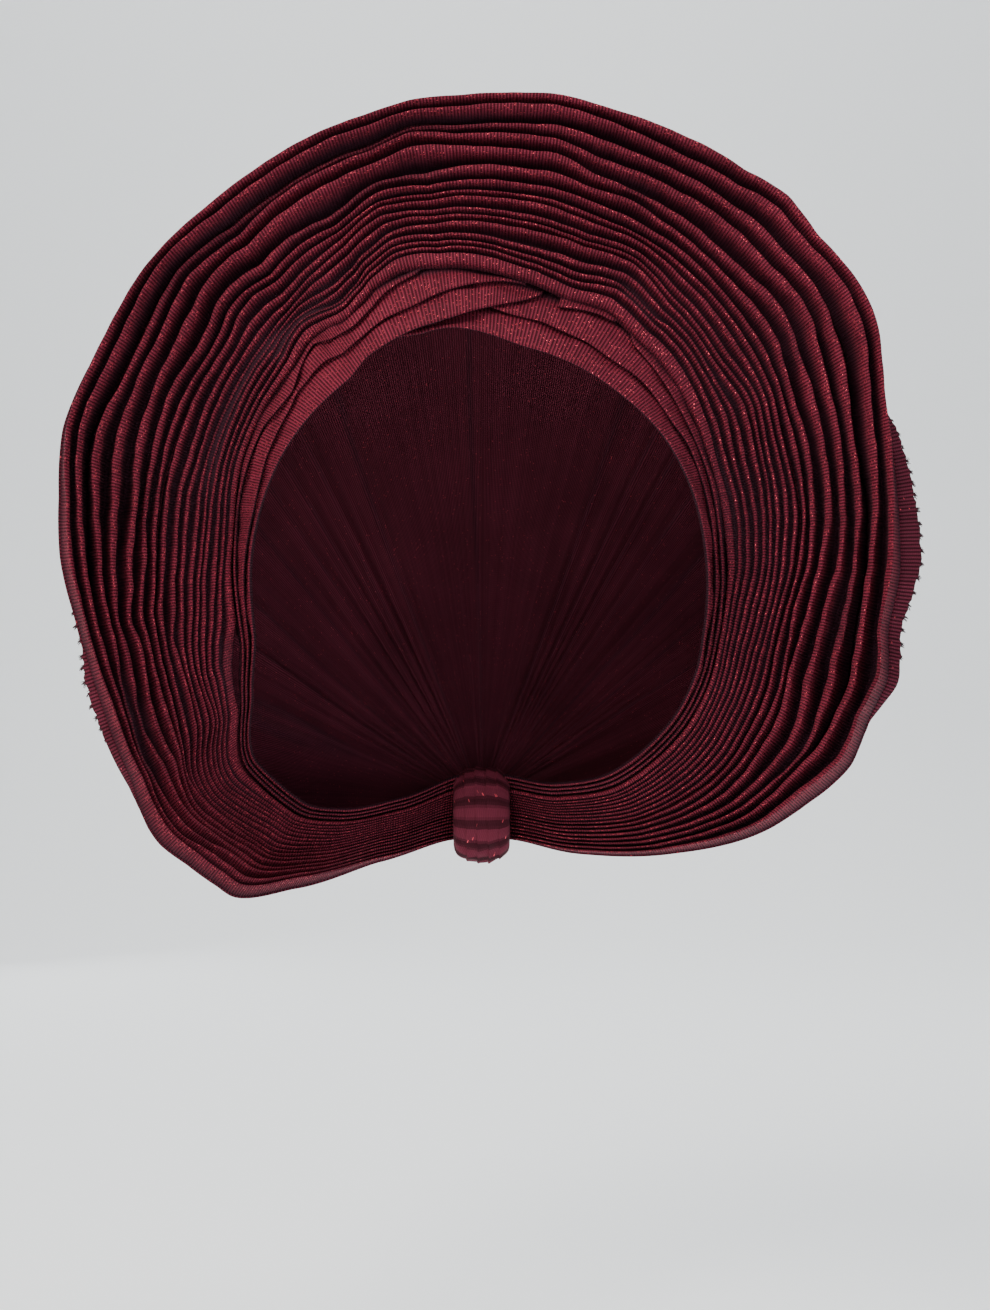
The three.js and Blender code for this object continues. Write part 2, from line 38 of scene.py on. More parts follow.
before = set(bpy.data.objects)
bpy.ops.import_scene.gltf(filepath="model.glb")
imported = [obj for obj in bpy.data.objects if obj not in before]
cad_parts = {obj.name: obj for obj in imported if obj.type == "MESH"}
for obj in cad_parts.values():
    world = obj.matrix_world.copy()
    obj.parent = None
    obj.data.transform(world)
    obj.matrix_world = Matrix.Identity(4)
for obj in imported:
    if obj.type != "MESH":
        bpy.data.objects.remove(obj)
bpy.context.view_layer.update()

# Sizes of the frame in millimetres, in the frame's own axes
AXIS_HEIGHT = 15.0
BROW_RADIUS = 72.0
HEAD_HALF_DEPTH = 100.0
BROW_BAND = 25.0
RIM_RADIUS = 160.0
FOLD_DEPTH = 10.0
PLEAT_STEEPNESS = 1.25
VALLEY_LEAN = 0.34
FINE_STEEPNESS = 0.6
CLOTH = 1.1
FOLDED_CLOTH = 2.2
BACK_CLOTH = 1.8
CLEARANCE = 0.35
TUCKED = 6.0
KNOT_HALF_WIDTH = 11.6
KNOT_HALF_HEIGHT = 19.0
KNOT_HALF_DEPTH = 12.0
KNOT_HALF_ANGLE = 6.0
NAPE_LEFT = 270 - KNOT_HALF_ANGLE
NAPE_RIGHT = -90 + KNOT_HALF_ANGLE
LAYER = CLOTH + CLEARANCE
EDGE_LIFT = 0.9
HEM = 3.5
WRAP_STEP = 0.8

# Share of a half fold's points that lie on its round lip
LIP_SPAN = 0.56
# Where the innermost valley lies, and its depth and height in millimetres
LAST_VALLEY_AT = -0.012
LAST_VALLEY_DEPTH = 3.2
LAST_VALLEY_HEIGHT = -2.3
# Least rise of a ridge over its valleys, and how far two groups of folds overlap
LEAST_RISE = 0.7
SEAM = 0.2
# Painted shade on a stretch that lies low: how much darker it is for each millimetre it lies low, and its
# darkest
SUNK_SHADE, SUNK_DARKEST = 1 / 8, 0.38

# Drift of the folds along the ring: its size, its periods in degrees and its seed
SLOW_DRIFT = (0.045, [37, 17], 5)
QUICK_DRIFT = (0.02, [7.3, 4.1], 6)
HEIGHT_DRIFT = (0.13, [47, 27, 15], 7)
LEAN_DRIFT = (0.18, [41, 23], 8)
LIP_DRIFT = (0.16, [39, 17, 9], 11)

# The cloth over the back: points of each line, and how far its curve reaches at both ends
FLAP_STEPS, BONNET_STEPS = 4, 64
LEAVING_REACH, ARRIVING_REACH = 0.43, 0.47
ARRIVING_RISE = math.radians(20)
GATHERS = 23
BACK_ANGLES = 520
KNOT_ANGLES = 96

# Threads, in metres: the warp, 0.4 mm apart on the real cloth, is drawn wider so that it shows
WARP_PITCH = 0.0008
FRINGE_THICKNESS = 0.0002

# Finishes of the cloth: colour, share of crossings that spark, roughness, and how dark the painted shade in
# the valleys gets
FINISHES = {
    "face": ("wine", 0.21, 0.62, 0.9),
    "plain": ("deep_wine", 0.02, 0.72, 0.95),
    "reverse": ("deep_wine", 0.01, 0.75, 0.0),
}

# The stage in metres: floor height, where the wall stands, radius of the bend, reach and width
FLOOR, WALL, BEND, REACH, HALF_WIDTH = -0.33, 1.9, 0.6, 3.0, 3.5
# Lights: name, power, size, place, place it looks at, colour
LIGHTS = (
    ("key", 17.5, 0.55, (-0.55, -0.85, 0.85), (0, 0, 0), "FFF6EC"),
    ("fill", 3.2, 0.9, (0.85, -0.9, 0.35), (0, 0, 0), "EEF3FF"),
    ("top", 8.0, 0.8, (0.1, 0.0, 1.2), (0, 0, 0), "FFFFFF"),
    ("rear", 4.5, 0.8, (0.3, 1.3, 0.8), (0, 0, 0), "FFFFFF"),
    ("rear_low", 1.6, 0.7, (-0.6, 1.2, 0.1), (0, 0, 0), "FFFFFF"),
    ("wall", 36.0, 1.5, (0.0, 0.9, 2.2), (0, WALL, 0), "FFFFFF"),
)
# Camera: place in metres, and half the height it sees at its distance, in millimetres
CAMERA_PLACE = (0.0055, -0.750, -0.02035)
CAMERA_HALF_VIEW = 242.5
FILM_HEIGHT = 36.0

# Sections of the fan, from the left of the nape over the crown to its right
SECTIONS_AT = [266, 251, 240, 233, 222, 210, 198, 180, 155, 125, 100,
               75, 50, 32, 20, 0, -18, -28, -41, -57, -71, -86]
SECTIONS = {
    "brow": [1.17, 1.36, 1.54, 1.61, 1.60, 1.37, 1.21, 1.135, 1.04, 0.985, 1.02,
             0.945, 0.968, 1.02, 1.055, 1.125, 1.20, 1.26, 1.31, 1.33, 1.27, 1.17],
    "brow_y": [0.84, 0.74, 0.58, 0.49, 0.36, 0.16, 0.02, -0.16, -0.50, -0.70, -0.75,
               -0.75, -0.68, -0.56, -0.44, -0.16, 0.03, 0.14, 0.30, 0.50, 0.70, 0.84],
    "lay": [76, 74, 72, 70, 70, 70, 70, 70, 56, 44, 40, 40, 45, 54, 61, 70, 70, 70, 70, 72, 74, 76],
    "band": [0.16, 0.16, 0.16, 0.16, 0.16, 0.20, 0.32, 0.52, 0.80, 0.92, 0.96,
             1.0, 0.98, 0.74, 0.60, 0.52, 0.36, 0.28, 0.24, 0.20, 0.16, 0.16],
    "rim": [0.70, 0.78, 0.88, 0.945, 0.945, 0.915, 0.895, 0.918, 0.948, 0.955, 0.976,
            0.998, 1.014, 1.012, 0.962, 0.930, 0.938, 0.945, 0.920, 0.834, 0.76, 0.70],
    "rim_y": [0.88, 0.70, 0.30, 0.12, -0.04, -0.16, -0.24, -0.32, -0.42, -0.52, -0.56,
              -0.54, -0.46, -0.39, -0.34, -0.28, -0.16, -0.08, 0.12, 0.42, 0.68, 0.88],
    "dish": [0.0, 0.03, 0.08, 0.10, 0.12, 0.13, 0.13, 0.12, 0.10, 0.09, 0.09,
             0.09, 0.10, 0.11, 0.12, 0.14, 0.15, 0.13, 0.10, 0.06, 0.03, 0.0],
}

# How far the loose selvedge stands out past the rim, in millimetres
FLAP_AT = [264, 222, 215, 210, 200, 190, 187, 182, 30, 20, 18, 10, 0, -5, -10, -16, -20, -28, -34, -84]
FLAP_OUT = [-3, -3, 4.5, 6.0, 6.5, 2.0, 0.0, -3, -3, -2, 2.0, 6.5, 10.5, 9.0, 8.0, 7.5, 5.5, 0.5, -3, -3]

# Where the selvedge is frayed (1) and where it is whole (0)
FRAY_AT = [264, 208, 203, 189, 185, 21, 18, -12, -16, -84]
FRAYED = [0, 0, 1, 1, 0, 0, 1, 1, 0, 0]

# Each fold's ridge in thousandths of the way from the band (0) to the rim (1)
RIDGES_AT = [264, 245, 230, 222, 215, 210, 205, 200, 195, 190, 185, 180, 170, 160, 150, 140, 130, 120,
             110, 100, 90, 80, 70, 60, 50, 40, 30, 20, 10, 0, -10, -16, -20, -30, -40, -60, -84]
RIDGES = np.array([
    [975, 975, 985, 990, 1000, 1000, 1000, 1000, 1000, 1000, 990, 980, 972, 975, 975, 985, 970, 970, 980,
     965, 970, 970, 965, 970, 975, 980, 975, 975, 968, 985, 1000, 1000, 1000, 985, 980, 975, 975],
    [905, 905, 925, 925, 925, 935, 925, 925, 925, 930, 915, 905, 910, 900, 895, 910, 910, 905, 915,
     900, 910, 910, 900, 890, 900, 915, 905, 895, 880, 860, 875, 820, 860, 820, 860, 900, 905],
    [835, 830, 750, 850, 850, 860, 845, 840, 825, 835, 825, 795, 815, 790, 782, 795, 810, 820, 825,
     820, 825, 815, 815, 810, 800, 810, 770, 780, 780, 760, 735, 685, 718, 745, 770, 825, 835],
    [765, 750, 645, 690, 730, 775, 765, 780, 765, 770, 740, 715, 695, 685, 715, 715, 740, 760, 775,
     770, 760, 755, 740, 730, 720, 720, 685, 710, 690, 665, 620, 577, 585, 645, 695, 750, 765],
    [695, 670, 560, 590, 610, 670, 700, 675, 650, 685, 630, 605, 575, 580, 610, 605, 660, 665, 680,
     690, 680, 675, 668, 630, 605, 615, 595, 620, 610, 550, 495, 470, 465, 505, 580, 675, 695],
    [625, 600, 500, 500, 535, 565, 580, 590, 585, 600, 560, 515, 505, 500, 515, 475, 530, 535, 530,
     560, 575, 585, 605, 570, 540, 530, 500, 525, 510, 475, 403, 397, 410, 430, 500, 600, 625],
    [560, 530, 437, 410, 490, 505, 510, 520, 520, 525, 480, 450, 440, 435, 435, 412, 470, 467, 450,
     487, 505, 515, 520, 500, 480, 460, 455, 470, 460, 420, 347, 335, 342, 365, 430, 530, 560],
    [495, 465, 385, 370, 445, 440, 455, 465, 465, 482, 430, 395, 390, 375, 375, 365, 420, 412, 418,
     440, 460, 460, 460, 450, 430, 420, 410, 410, 410, 370, 302, 290, 292, 310, 370, 465, 495],
    [430, 405, 340, 330, 390, 360, 370, 395, 405, 375, 350, 320, 315, 290, 295, 310, 340, 348, 378,
     395, 420, 420, 418, 400, 380, 370, 370, 370, 360, 320, 265, 248, 243, 262, 315, 405, 430],
    [370, 350, 275, 285, 335, 310, 335, 355, 345, 315, 295, 270, 265, 240, 245, 260, 285, 313, 325,
     335, 350, 345, 350, 330, 320, 305, 330, 320, 310, 275, 230, 212, 205, 218, 265, 350, 370],
    [315, 295, 225, 235, 290, 250, 270, 305, 290, 255, 235, 215, 200, 195, 195, 215, 235, 270, 262,
     298, 315, 313, 315, 298, 278, 262, 290, 283, 268, 238, 190, 175, 170, 180, 218, 295, 315],
    [265, 245, 170, 190, 235, 200, 225, 255, 243, 210, 190, 170, 158, 157, 158, 178, 198, 215, 205,
     242, 265, 262, 275, 260, 240, 226, 248, 243, 228, 205, 152, 138, 132, 145, 175, 243, 265],
    [215, 195, 130, 155, 190, 165, 185, 205, 200, 175, 160, 143, 130, 122, 125, 145, 160, 158, 142,
     178, 187, 170, 187, 196, 196, 186, 185, 182, 180, 160, 112, 103, 98, 110, 135, 193, 215],
    [165, 145, 100, 122, 150, 135, 135, 165, 150, 125, 100, 88, 85, 85, 85, 100, 120, 115, 103,
     138, 149, 124, 132, 149, 152, 145, 140, 127, 127, 112, 75, 68, 65, 76, 98, 145, 165],
    [115, 100, 70, 90, 112, 95, 95, 110, 100, 80, 65, 50, 50, 52, 45, 55, 80, 70, 67,
     98, 110, 84, 90, 108, 105, 100, 82, 80, 80, 70, 42, 38, 36, 45, 62, 98, 115],
    [60, 50, 35, 50, 70, 55, 40, 50, 40, 30, 25, 20, 15, 20, 15, 18, 42, 28, 35,
     62, 62, 42, 45, 48, 50, 52, 35, 28, 32, 30, 15, 12, 12, 18, 28, 50, 60],
]) / 1000
FOLDS = {"rim": (0, 2), "broad": (2, 7), "fine": (7, 16)}

# Creases across the folds: angle, spread, from share, to share, push in FOLD_DEPTH
CREASES = [
    (233, 7, 0.6, 1.0, 0.28), (222, 9, 0.1, 1.0, 0.34), (203, 9, -0.1, 0.25, 0.30),
    (189, 9, 0.4, 1.0, -0.12), (163, 9, 0.6, 1.0, 0.18), (136, 9, 0.35, 0.93, 0.34),
    (128, 7, -0.4, 0.2, 0.36), (119, 7, -0.4, 0.3, -0.42), (106, 8, 0.0, 0.6, 0.36),
    (99, 6, 0.65, 0.95, 0.28), (80, 7, 0.6, 1.0, 0.12), (72, 6, 0.55, 0.75, -0.26),
    (62, 9, -0.3, 0.4, 0.36), (49, 6, 0.8, 1.0, 0.26), (35, 9, 0.45, 1.0, 0.20),
    (-9, 7, 0.55, 1.0, -0.20), (-17, 6, 0.65, 1.0, 0.22), (-29, 7, 0.8, 1.0, 0.18),
]

# Stretches where a fold lies low: fold, middle angle, half width in degrees, drop in millimetres
LOW_STRETCHES = [
    (2, 115, 32, 4.2), (2, 206, 11, 3.4), (2, -9, 6, 3.2), (2, -31, 5, 2.4), (3, 205, 4, 3.0),
    (5, 109, 16, 3.6), (10, 148, 19, 2.6), (11, 148, 20, 3.0), (12, 129, 8, 2.8), (13, 129, 9, 3.0),
    (11, 114, 10, 2.2), (12, 75, 12, 1.0), (13, 118, 5, 2.0), (15, 10, 16, 2.0), (15, 203, 7, 3.4),
    (14, 200, 4, 1.2), (8, 192, 4, 1.5), (4, 33, 4, 2.6), (13, 57, 6, 2.4), (12, 34, 7, 1.6), (4, 66, 3, 2.4),
]

# Brow wraps: name, first and last angle, layers under it at the side and at the crossing,
# and its lower edge between the opening (0) and the folds (1)
BROW_WRAPS = [
    ("brow_wrap_right_1", 119, NAPE_RIGHT, 0, 0, [(119, 0.4), (111, 0.14), (104, 0.0), (-84, 0.0)]),
    ("brow_wrap_right_2", 99, NAPE_RIGHT, 1, 1,
     [(99, 0.8), (92, 0.55), (83, 0.46), (75, 0.50), (67, 0.42), (58, 0.39), (46, 0.48), (34, 0.42),
      (26, 0.56), (10, 0.54), (-20, 0.4)]),
    ("brow_wrap_right_3", 72, NAPE_RIGHT, 2, 2,
     [(75, 0.82), (65, 0.90), (61, 0.92), (57, 1.08), (53, 0.90), (47, 0.83), (30, 0.75), (20, 0.80),
      (-20, 0.7)]),
    ("brow_wrap_left_1", NAPE_LEFT, 76, 0, 2,
     [(215, 0.0), (102, 0.0), (97, 0.07), (91, 0.27), (85, 0.52), (80, 0.74), (77, 0.92), (76, 1.0)]),
    ("brow_wrap_left_2", NAPE_LEFT, 80, 1, 3,
     [(215, 0.4), (200, 0.4), (190, 0.34), (180, 0.22), (171, 0.14), (155, 0.35), (143, 0.48), (138, 0.60),
      (133, 0.60), (129, 0.55), (124, 0.42), (118, 0.44), (106, 0.40), (98, 0.55), (90, 0.79), (84, 0.96),
      (80, 1.0)]),
    ("brow_wrap_left_3", NAPE_LEFT, 101, 2, 4,
     [(215, 0.68), (190, 0.80), (180, 0.90), (171, 0.96), (157, 0.82), (150, 0.80), (145, 0.68),
      (140, 0.63), (134, 0.86), (129, 0.92), (125, 0.77), (119, 0.74), (114, 0.75), (109, 0.87),
      (103, 0.97), (101, 1.05)]),
]
CROSSING_FOOT, CROSSING_TOP, CROSSING_LAST_TOP, CROSSING_END = 128, 119, 80, 68
SIDE_LAYERS, CROSS_LAYERS = 3, 5


def linear(hex_colour):
    """An sRGB hex colour as linear red, green and blue."""
    parts = [int(hex_colour[i:i + 2], 16) / 255 for i in (0, 2, 4)]
    return tuple(c / 12.92 if c <= 0.04045 else ((c + 0.055) / 1.055) ** 2.4 for c in parts)


class GeleSizes(bpy.types.PropertyGroup):
    """Sizes of the cloth that a user would change."""
    rib_pitch: bpy.props.FloatProperty(
        name="Rib pitch", description="From one woven rib to the next",
        default=0.00115, min=0.0004, max=0.004, precision=5, unit="LENGTH")
    cloth_thickness: bpy.props.FloatProperty(
        name="Cloth thickness", description="Thickness of one layer of the cloth",
        default=0.0005, min=0.0002, max=0.0015, precision=5, unit="LENGTH")
    lip_width: bpy.props.FloatProperty(
        name="Lip width", description="Half width of a fold's round lip, as a share of its half pitch",
        default=0.38, min=0.2, max=0.9, subtype="FACTOR")
    valley_depth: bpy.props.FloatProperty(
        name="Valley depth", description="Depth of the valleys between folds, against the solid fold's depth",
        default=1.25, min=0.5, max=2.0, subtype="FACTOR")
    gather_height: bpy.props.FloatProperty(
        name="Gather height", description="Height of the gathers that run to the knot",
        default=0.0042, min=0.0, max=0.008, precision=4, unit="LENGTH")
    fringe_length: bpy.props.FloatProperty(
        name="Fringe length", description="Longest loose thread on the selvedge",
        default=0.0028, min=0.0005, max=0.008, precision=4, unit="LENGTH")


class GeleColours(bpy.types.PropertyGroup):
    """Colours of the cloth and the stage."""
    wine: bpy.props.FloatVectorProperty(
        name="Wine", description="Face of the cloth", subtype="COLOR", default=linear("6D2232"), min=0, max=1)
    deep_wine: bpy.props.FloatVectorProperty(
        name="Deep wine", description="Duller back of the cloth", subtype="COLOR",
        default=linear("5D2231"), min=0, max=1)
    # Painted shade: the colour that the cloth is darkened to down in the valleys between folds
    valley: bpy.props.FloatVectorProperty(
        name="Valley", description="Cloth deep between the folds", subtype="COLOR",
        default=linear("2A1822"), min=0, max=1)
    glitter: bpy.props.FloatVectorProperty(
        name="Glitter", description="Metallic thread where it catches light", subtype="COLOR",
        default=linear("EE5C68"), min=0, max=1)
    fray: bpy.props.FloatVectorProperty(
        name="Fray", description="Loose threads of the selvedge", subtype="COLOR",
        default=linear("33101B"), min=0, max=1)
    backdrop: bpy.props.FloatVectorProperty(
        name="Backdrop", description="Floor and wall", subtype="COLOR",
        default=linear("F9FCFD"), min=0, max=1)
    tick: bpy.props.FloatVectorProperty(
        name="Tick", description="Ribs that catch a little light down in a valley", subtype="COLOR",
        default=linear("3E2E38"), min=0, max=1)


def unit(vectors):
    """Each vector divided by its length."""
    return vectors / np.maximum(np.linalg.norm(vectors, axis=-1), 1e-9)[..., None]


def smoothstep(x, low, high):
    """0 below low, 1 above high, and 3t squared minus 2t cubed between."""
    t = np.clip((np.asarray(x, float) - low) / (high - low), 0, 1)
    return t * t * (3 - 2 * t)


def along_ring(angles, values, at):
    """Smooth curve through a column's values: a cubic between neighbours, whose slope at each
    is the harmonic mean of the slopes on both sides, and 0 at a peak and at the ends."""
    x = np.asarray(angles, float)
    y = np.asarray(values, float)
    order = np.argsort(x)
    x, y = x[order], y[order]
    rise = np.diff(y) / np.diff(x)
    both = rise[:-1] * rise[1:]
    total = np.where(np.abs(rise[:-1] + rise[1:]) > 1e-12, rise[:-1] + rise[1:], 1.0)
    slope = np.zeros(len(x))
    slope[1:-1] = np.where(both > 0, 2 * both / total, 0)
    a = np.clip(np.asarray(at, float), x[0], x[-1])
    i = np.clip(np.searchsorted(x, a, side="right") - 1, 0, len(x) - 2)
    step = x[i + 1] - x[i]
    t = (a - x[i]) / step
    ease = t * t * (3 - 2 * t)
    return (y[i] * (1 - ease) + y[i + 1] * ease
            + step * (slope[i] * t * (1 - t) ** 2 - slope[i + 1] * t * t * (1 - t)))


def crease_push(at, share):
    """Outward push of the creases in millimetres: a tent over each crease's spread with a
    slightly rounded tip, times a smooth window between its two shares."""
    soft, edge = 0.10, 0.12
    tip = math.sqrt(1 + soft * soft) - soft
    total = np.zeros(np.broadcast(at, share).shape)
    for middle, spread, low, high, push in CREASES:
        x = (at - middle) / spread
        near = np.clip(1 - (np.sqrt(x * x + soft * soft) - soft) / tip, 0, 1)
        inside = smoothstep(share, low - edge, low + edge)
        if high < 1:
            inside = inside * (1 - smoothstep(share, high - edge, high + edge))
        total = total + push * FOLD_DEPTH * near * inside
    return total


def climbed(at):
    """How far the left wraps have climbed over the right ones, 0 to 1."""
    return 1 - smoothstep(at, CROSSING_TOP, CROSSING_FOOT)


def section(at):
    """The cut at each angle, as columns of radius and depth: brow edge, band and fan directions,
    tuck, rim and fan width. The fan's base line runs from the tuck to the rim."""
    value = {name: along_ring(SECTIONS_AT, column, at) for name, column in SECTIONS.items()}
    lean = np.radians(value["lay"])
    brow = np.stack([value["brow"] * BROW_RADIUS, value["brow_y"] * HEAD_HALF_DEPTH], axis=-1)
    band_along = np.stack([np.cos(lean), np.sin(lean)], axis=-1)
    band_out = np.stack([np.sin(lean), -np.cos(lean)], axis=-1)
    tuck_push = crease_push(at, np.full_like(at, -0.2))
    band_width = value["band"] * BROW_BAND + tuck_push
    crossed = climbed(at) * smoothstep(at, CROSSING_END, CROSSING_LAST_TOP)
    layers = SIDE_LAYERS + (CROSS_LAYERS - SIDE_LAYERS) * crossed
    tuck = brow + band_along * band_width[:, None] + band_out * (layers * LAYER + LAYER)[:, None]
    rim = np.stack([value["rim"] * RIM_RADIUS, value["rim_y"] * HEAD_HALF_DEPTH], axis=-1)
    fan = rim - tuck
    fan_width = np.linalg.norm(fan, axis=-1)
    fan_along = fan / fan_width[:, None]
    fan_out = np.stack([fan_along[:, 1], -fan_along[:, 0]], axis=-1)
    return {
        "at": at, "brow": brow, "tuck_push": tuck_push, "band_along": band_along, "band_out": band_out,
        "band_width": band_width, "tuck": tuck, "rim": rim, "fan_along": fan_along, "fan_out": fan_out,
        "fan_width": fan_width, "belly": value["dish"] * fan_width,
    }


def fan_point(cut, share, height):
    """A point of each cut, share of the way from tuck to rim and height in front of a line that
    sags back as 4 belly share (1 - share), plus the push of the creases."""
    along = (share * cut["fan_width"][:, None] + crease_push(cut["at"][:, None], share)
             - cut["tuck_push"][:, None] * (1 - share))
    dished = height - 4 * cut["belly"][:, None] * share * (1 - share)
    return (cut["tuck"][:, None] + cut["fan_along"][:, None] * along[..., None]
            + cut["fan_out"][:, None] * dished[..., None])


def band_point(cut, along, height):
    """A point of each cut, along the head from the brow edge and out from the head."""
    return (cut["brow"][:, None] + cut["band_along"][:, None] * along[..., None]
            + cut["band_out"][:, None] * height[..., None])


def in_space(point, at):
    """Radius and depth on each turned half plane to x, y, z in metres."""
    turn = np.radians(at)[:, None]
    x = point[..., 0] * np.cos(turn)
    z = AXIS_HEIGHT + point[..., 0] * np.sin(turn)
    return np.stack([x, point[..., 1], z], axis=-1) * 0.001


def behind_rim(fold, fan_width):
    """Distance from the fan's base line to the middle of the back cloth behind the rim fold."""
    wall = np.clip(0.06 * fan_width, CLOTH, FOLDED_CLOTH)
    return fold / 2 + wall + 2 * CLEARANCE + BACK_CLOTH / 2


def wander(at, drift):
    """Drift of each fold along the ring: a mean of sines whose phases walk from fold to fold, so
    that neighbours move partly together, times the drift's size."""
    size, periods, seed = drift
    count = len(RIDGES)
    rng = np.random.default_rng(seed)
    start = rng.uniform(0, 2 * np.pi, len(periods))
    phase = start + np.cumsum(rng.normal(0, 1.0, (count, len(periods))), axis=0)
    waves = np.sin(2 * np.pi * at[:, None, None] / np.asarray(periods, float) + phase)
    return waves.mean(axis=2) * 1.6 * size


def grid_faces(rows, columns, closed=False):
    """Quads between neighbouring points of a grid, joined round in its columns if closed."""
    last = columns if closed else columns - 1
    i, j = np.meshgrid(np.arange(rows - 1), np.arange(last), indexing="ij")
    after = (j + 1) % columns
    quads = np.stack([i * columns + j, i * columns + after, (i + 1) * columns + after,
                      (i + 1) * columns + j], axis=-1)
    return quads.reshape(-1, 4)


def grid_threads(along, across, closed=False):
    """Thread coordinates at the four corners of each quad, in metres: distance along the fold,
    which belongs to each column of quads, and distance across it."""
    nxt = np.roll(across, -1, axis=1) if closed else across[:, 1:]
    here = across if closed else across[:, :-1]
    low, high = along[:-1], along[1:]
    corners = [np.stack([low, here[:-1]], axis=-1), np.stack([low, nxt[:-1]], axis=-1),
               np.stack([high, nxt[1:]], axis=-1), np.stack([high, here[1:]], axis=-1)]
    return np.stack(corners, axis=2).reshape(-1, 4, 2)


def run_length(points, axis):
    """Distance walked along one axis of a grid of points, from 0."""
    steps = np.linalg.norm(np.diff(points, axis=axis), axis=-1)
    start = np.zeros_like(np.take(steps, [0], axis=axis))
    return np.concatenate([start, np.cumsum(steps, axis=axis)], axis=axis)


def cloth_object(name, grid, along, across, valley, material, inside, closed=False):
    """Object of a grid of points with its thread coordinates, turned to face away from inside."""
    rows, columns = grid.shape[:2]
    points = grid.reshape(-1, 3)
    faces = grid_faces(rows, columns, closed)
    threads = grid_threads(along, across, closed)
    corner = points[faces]
    normal = np.cross(corner[:, 2] - corner[:, 0], corner[:, 3] - corner[:, 1])
    if np.sum(normal * (corner.mean(axis=1) - np.asarray(inside))) < 0:
        faces = faces[:, ::-1]
        threads = threads[:, ::-1]
    mesh = bpy.data.meshes.new(name)
    mesh.from_pydata(points.tolist(), [], faces.tolist())
    mesh.polygons.foreach_set("use_smooth", np.ones(len(faces), bool))
    mesh.uv_layers.new(name="threads").data.foreach_set("uv", threads.astype(np.float32).ravel())
    # The valley attribute carries the painted shade that the cloth's material reads
    shade = mesh.attributes.new("valley", "FLOAT", "POINT")
    shade.data.foreach_set("value", valley.astype(np.float32).ravel())
    mesh.materials.append(material)
    mesh.update()
    piece = bpy.data.objects.new(name, mesh)
    bpy.context.scene.collection.objects.link(piece)
    return piece


def thicken(piece, thickness, reverse=None):
    """Gives a cloth surface its thickness, inwards from its face, with its own reverse side."""
    wall = piece.modifiers.new("cloth", "SOLIDIFY")
    wall.thickness = thickness
    wall.offset = -1
    wall.use_even_offset = False
    wall.use_quality_normals = True
    if reverse:
        piece.data.materials.append(reverse)
        wall.material_offset = 1


def declare(piece, nodes):
    """Attaches a cloth piece to the root it rides on and hides the parts it stands for."""
    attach(piece, "root")
    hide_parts(*nodes)


def fold_lines(at, cut, depth_scale):
    """Ridges and valleys of all folds at each angle. Cloth rises steeply to each ridge from
    outside and falls slowly inside it, so a valley lies close to the ridge on its inner side. Its
    depth is a share of the pitch, up to the deepest fold. The first valley reaches back to the
    cloth behind the fan, and the last one is tucked onto the band. A low stretch drops its ridge
    by a flat-topped bell, and its shade goes with the drop."""
    count = len(RIDGES)
    shares = np.stack([along_ring(RIDGES_AT, row, at) for row in RIDGES], axis=1)
    edge = np.concatenate([np.ones((len(at), 1)), shares, np.zeros((len(at), 1))], axis=1)
    pitch = (edge[:, :-2] - edge[:, 2:]) / 2
    moved = shares + pitch * wander(at, SLOW_DRIFT) + pitch * wander(at, QUICK_DRIFT)
    gap = moved[:, :-1] - moved[:, 1:]
    steep = np.where(np.arange(1, count) >= FOLDS["fine"][0], FINE_STEEPNESS * 1.7, PLEAT_STEEPNESS)
    width = cut["fan_width"][:, None]
    between = np.minimum(FOLD_DEPTH, steep * gap * width)
    rim = np.minimum(FOLD_DEPTH, PLEAT_STEEPNESS * 2 * (1 - shares[:, :1]) * width)
    depth = np.concatenate([rim, between, np.full((len(at), 1), LAST_VALLEY_DEPTH)], axis=1)
    lean = VALLEY_LEAN * (1 + wander(at, LEAN_DRIFT)[:, 1:])
    valley_share = np.concatenate(
        [np.ones((len(at), 1)), moved[:, 1:] + lean * gap, np.full((len(at), 1), LAST_VALLEY_AT)], axis=1)
    ridge_height = np.maximum(depth[:, :-1], np.concatenate([between, between[:, -1:]], axis=1)) / 2
    ridge_height = ridge_height * (1 + wander(at, HEIGHT_DRIFT))
    valley_height = -depth / 2 * depth_scale
    sunk = np.zeros(ridge_height.shape)
    for fold, middle, half, drop in LOW_STRETCHES:
        sunk[:, fold] += drop * np.exp(-((at - middle) / half) ** 4 * 1.2)
    lowest = np.maximum(valley_height[:, :-1], valley_height[:, 1:]) + LEAST_RISE
    ridge_height = np.maximum(ridge_height - sunk, lowest)
    valley_height[:, -1] = LAST_VALLEY_HEIGHT
    valley_height[:, 0] = 0.5 - behind_rim(between[:, 0], cut["fan_width"])
    darker = np.clip(sunk * SUNK_SHADE, 0, SUNK_DARKEST)
    return moved, ridge_height, valley_share, valley_height, darker


def half_fold(steps, lip, drop, bend):
    """Half of a fold's cut from ridge to valley: a quarter ellipse, lip wide and drop high,
    then a wall that starts down and runs out in the valley, the flatter the higher bend is."""
    u = np.linspace(0, 1, steps + 1)
    turn = np.clip(u / LIP_SPAN, 0, 1) * np.pi / 2
    t = np.clip((u - LIP_SPAN) / (1 - LIP_SPAN), 0, 1)
    across = lip[:, None] * np.sin(turn) + (1 - lip[:, None]) * t ** bend
    down = drop[:, None] * (1 - np.cos(turn)) + (1 - drop[:, None]) * (1 - (1 - t) ** 1.5)
    return across, down


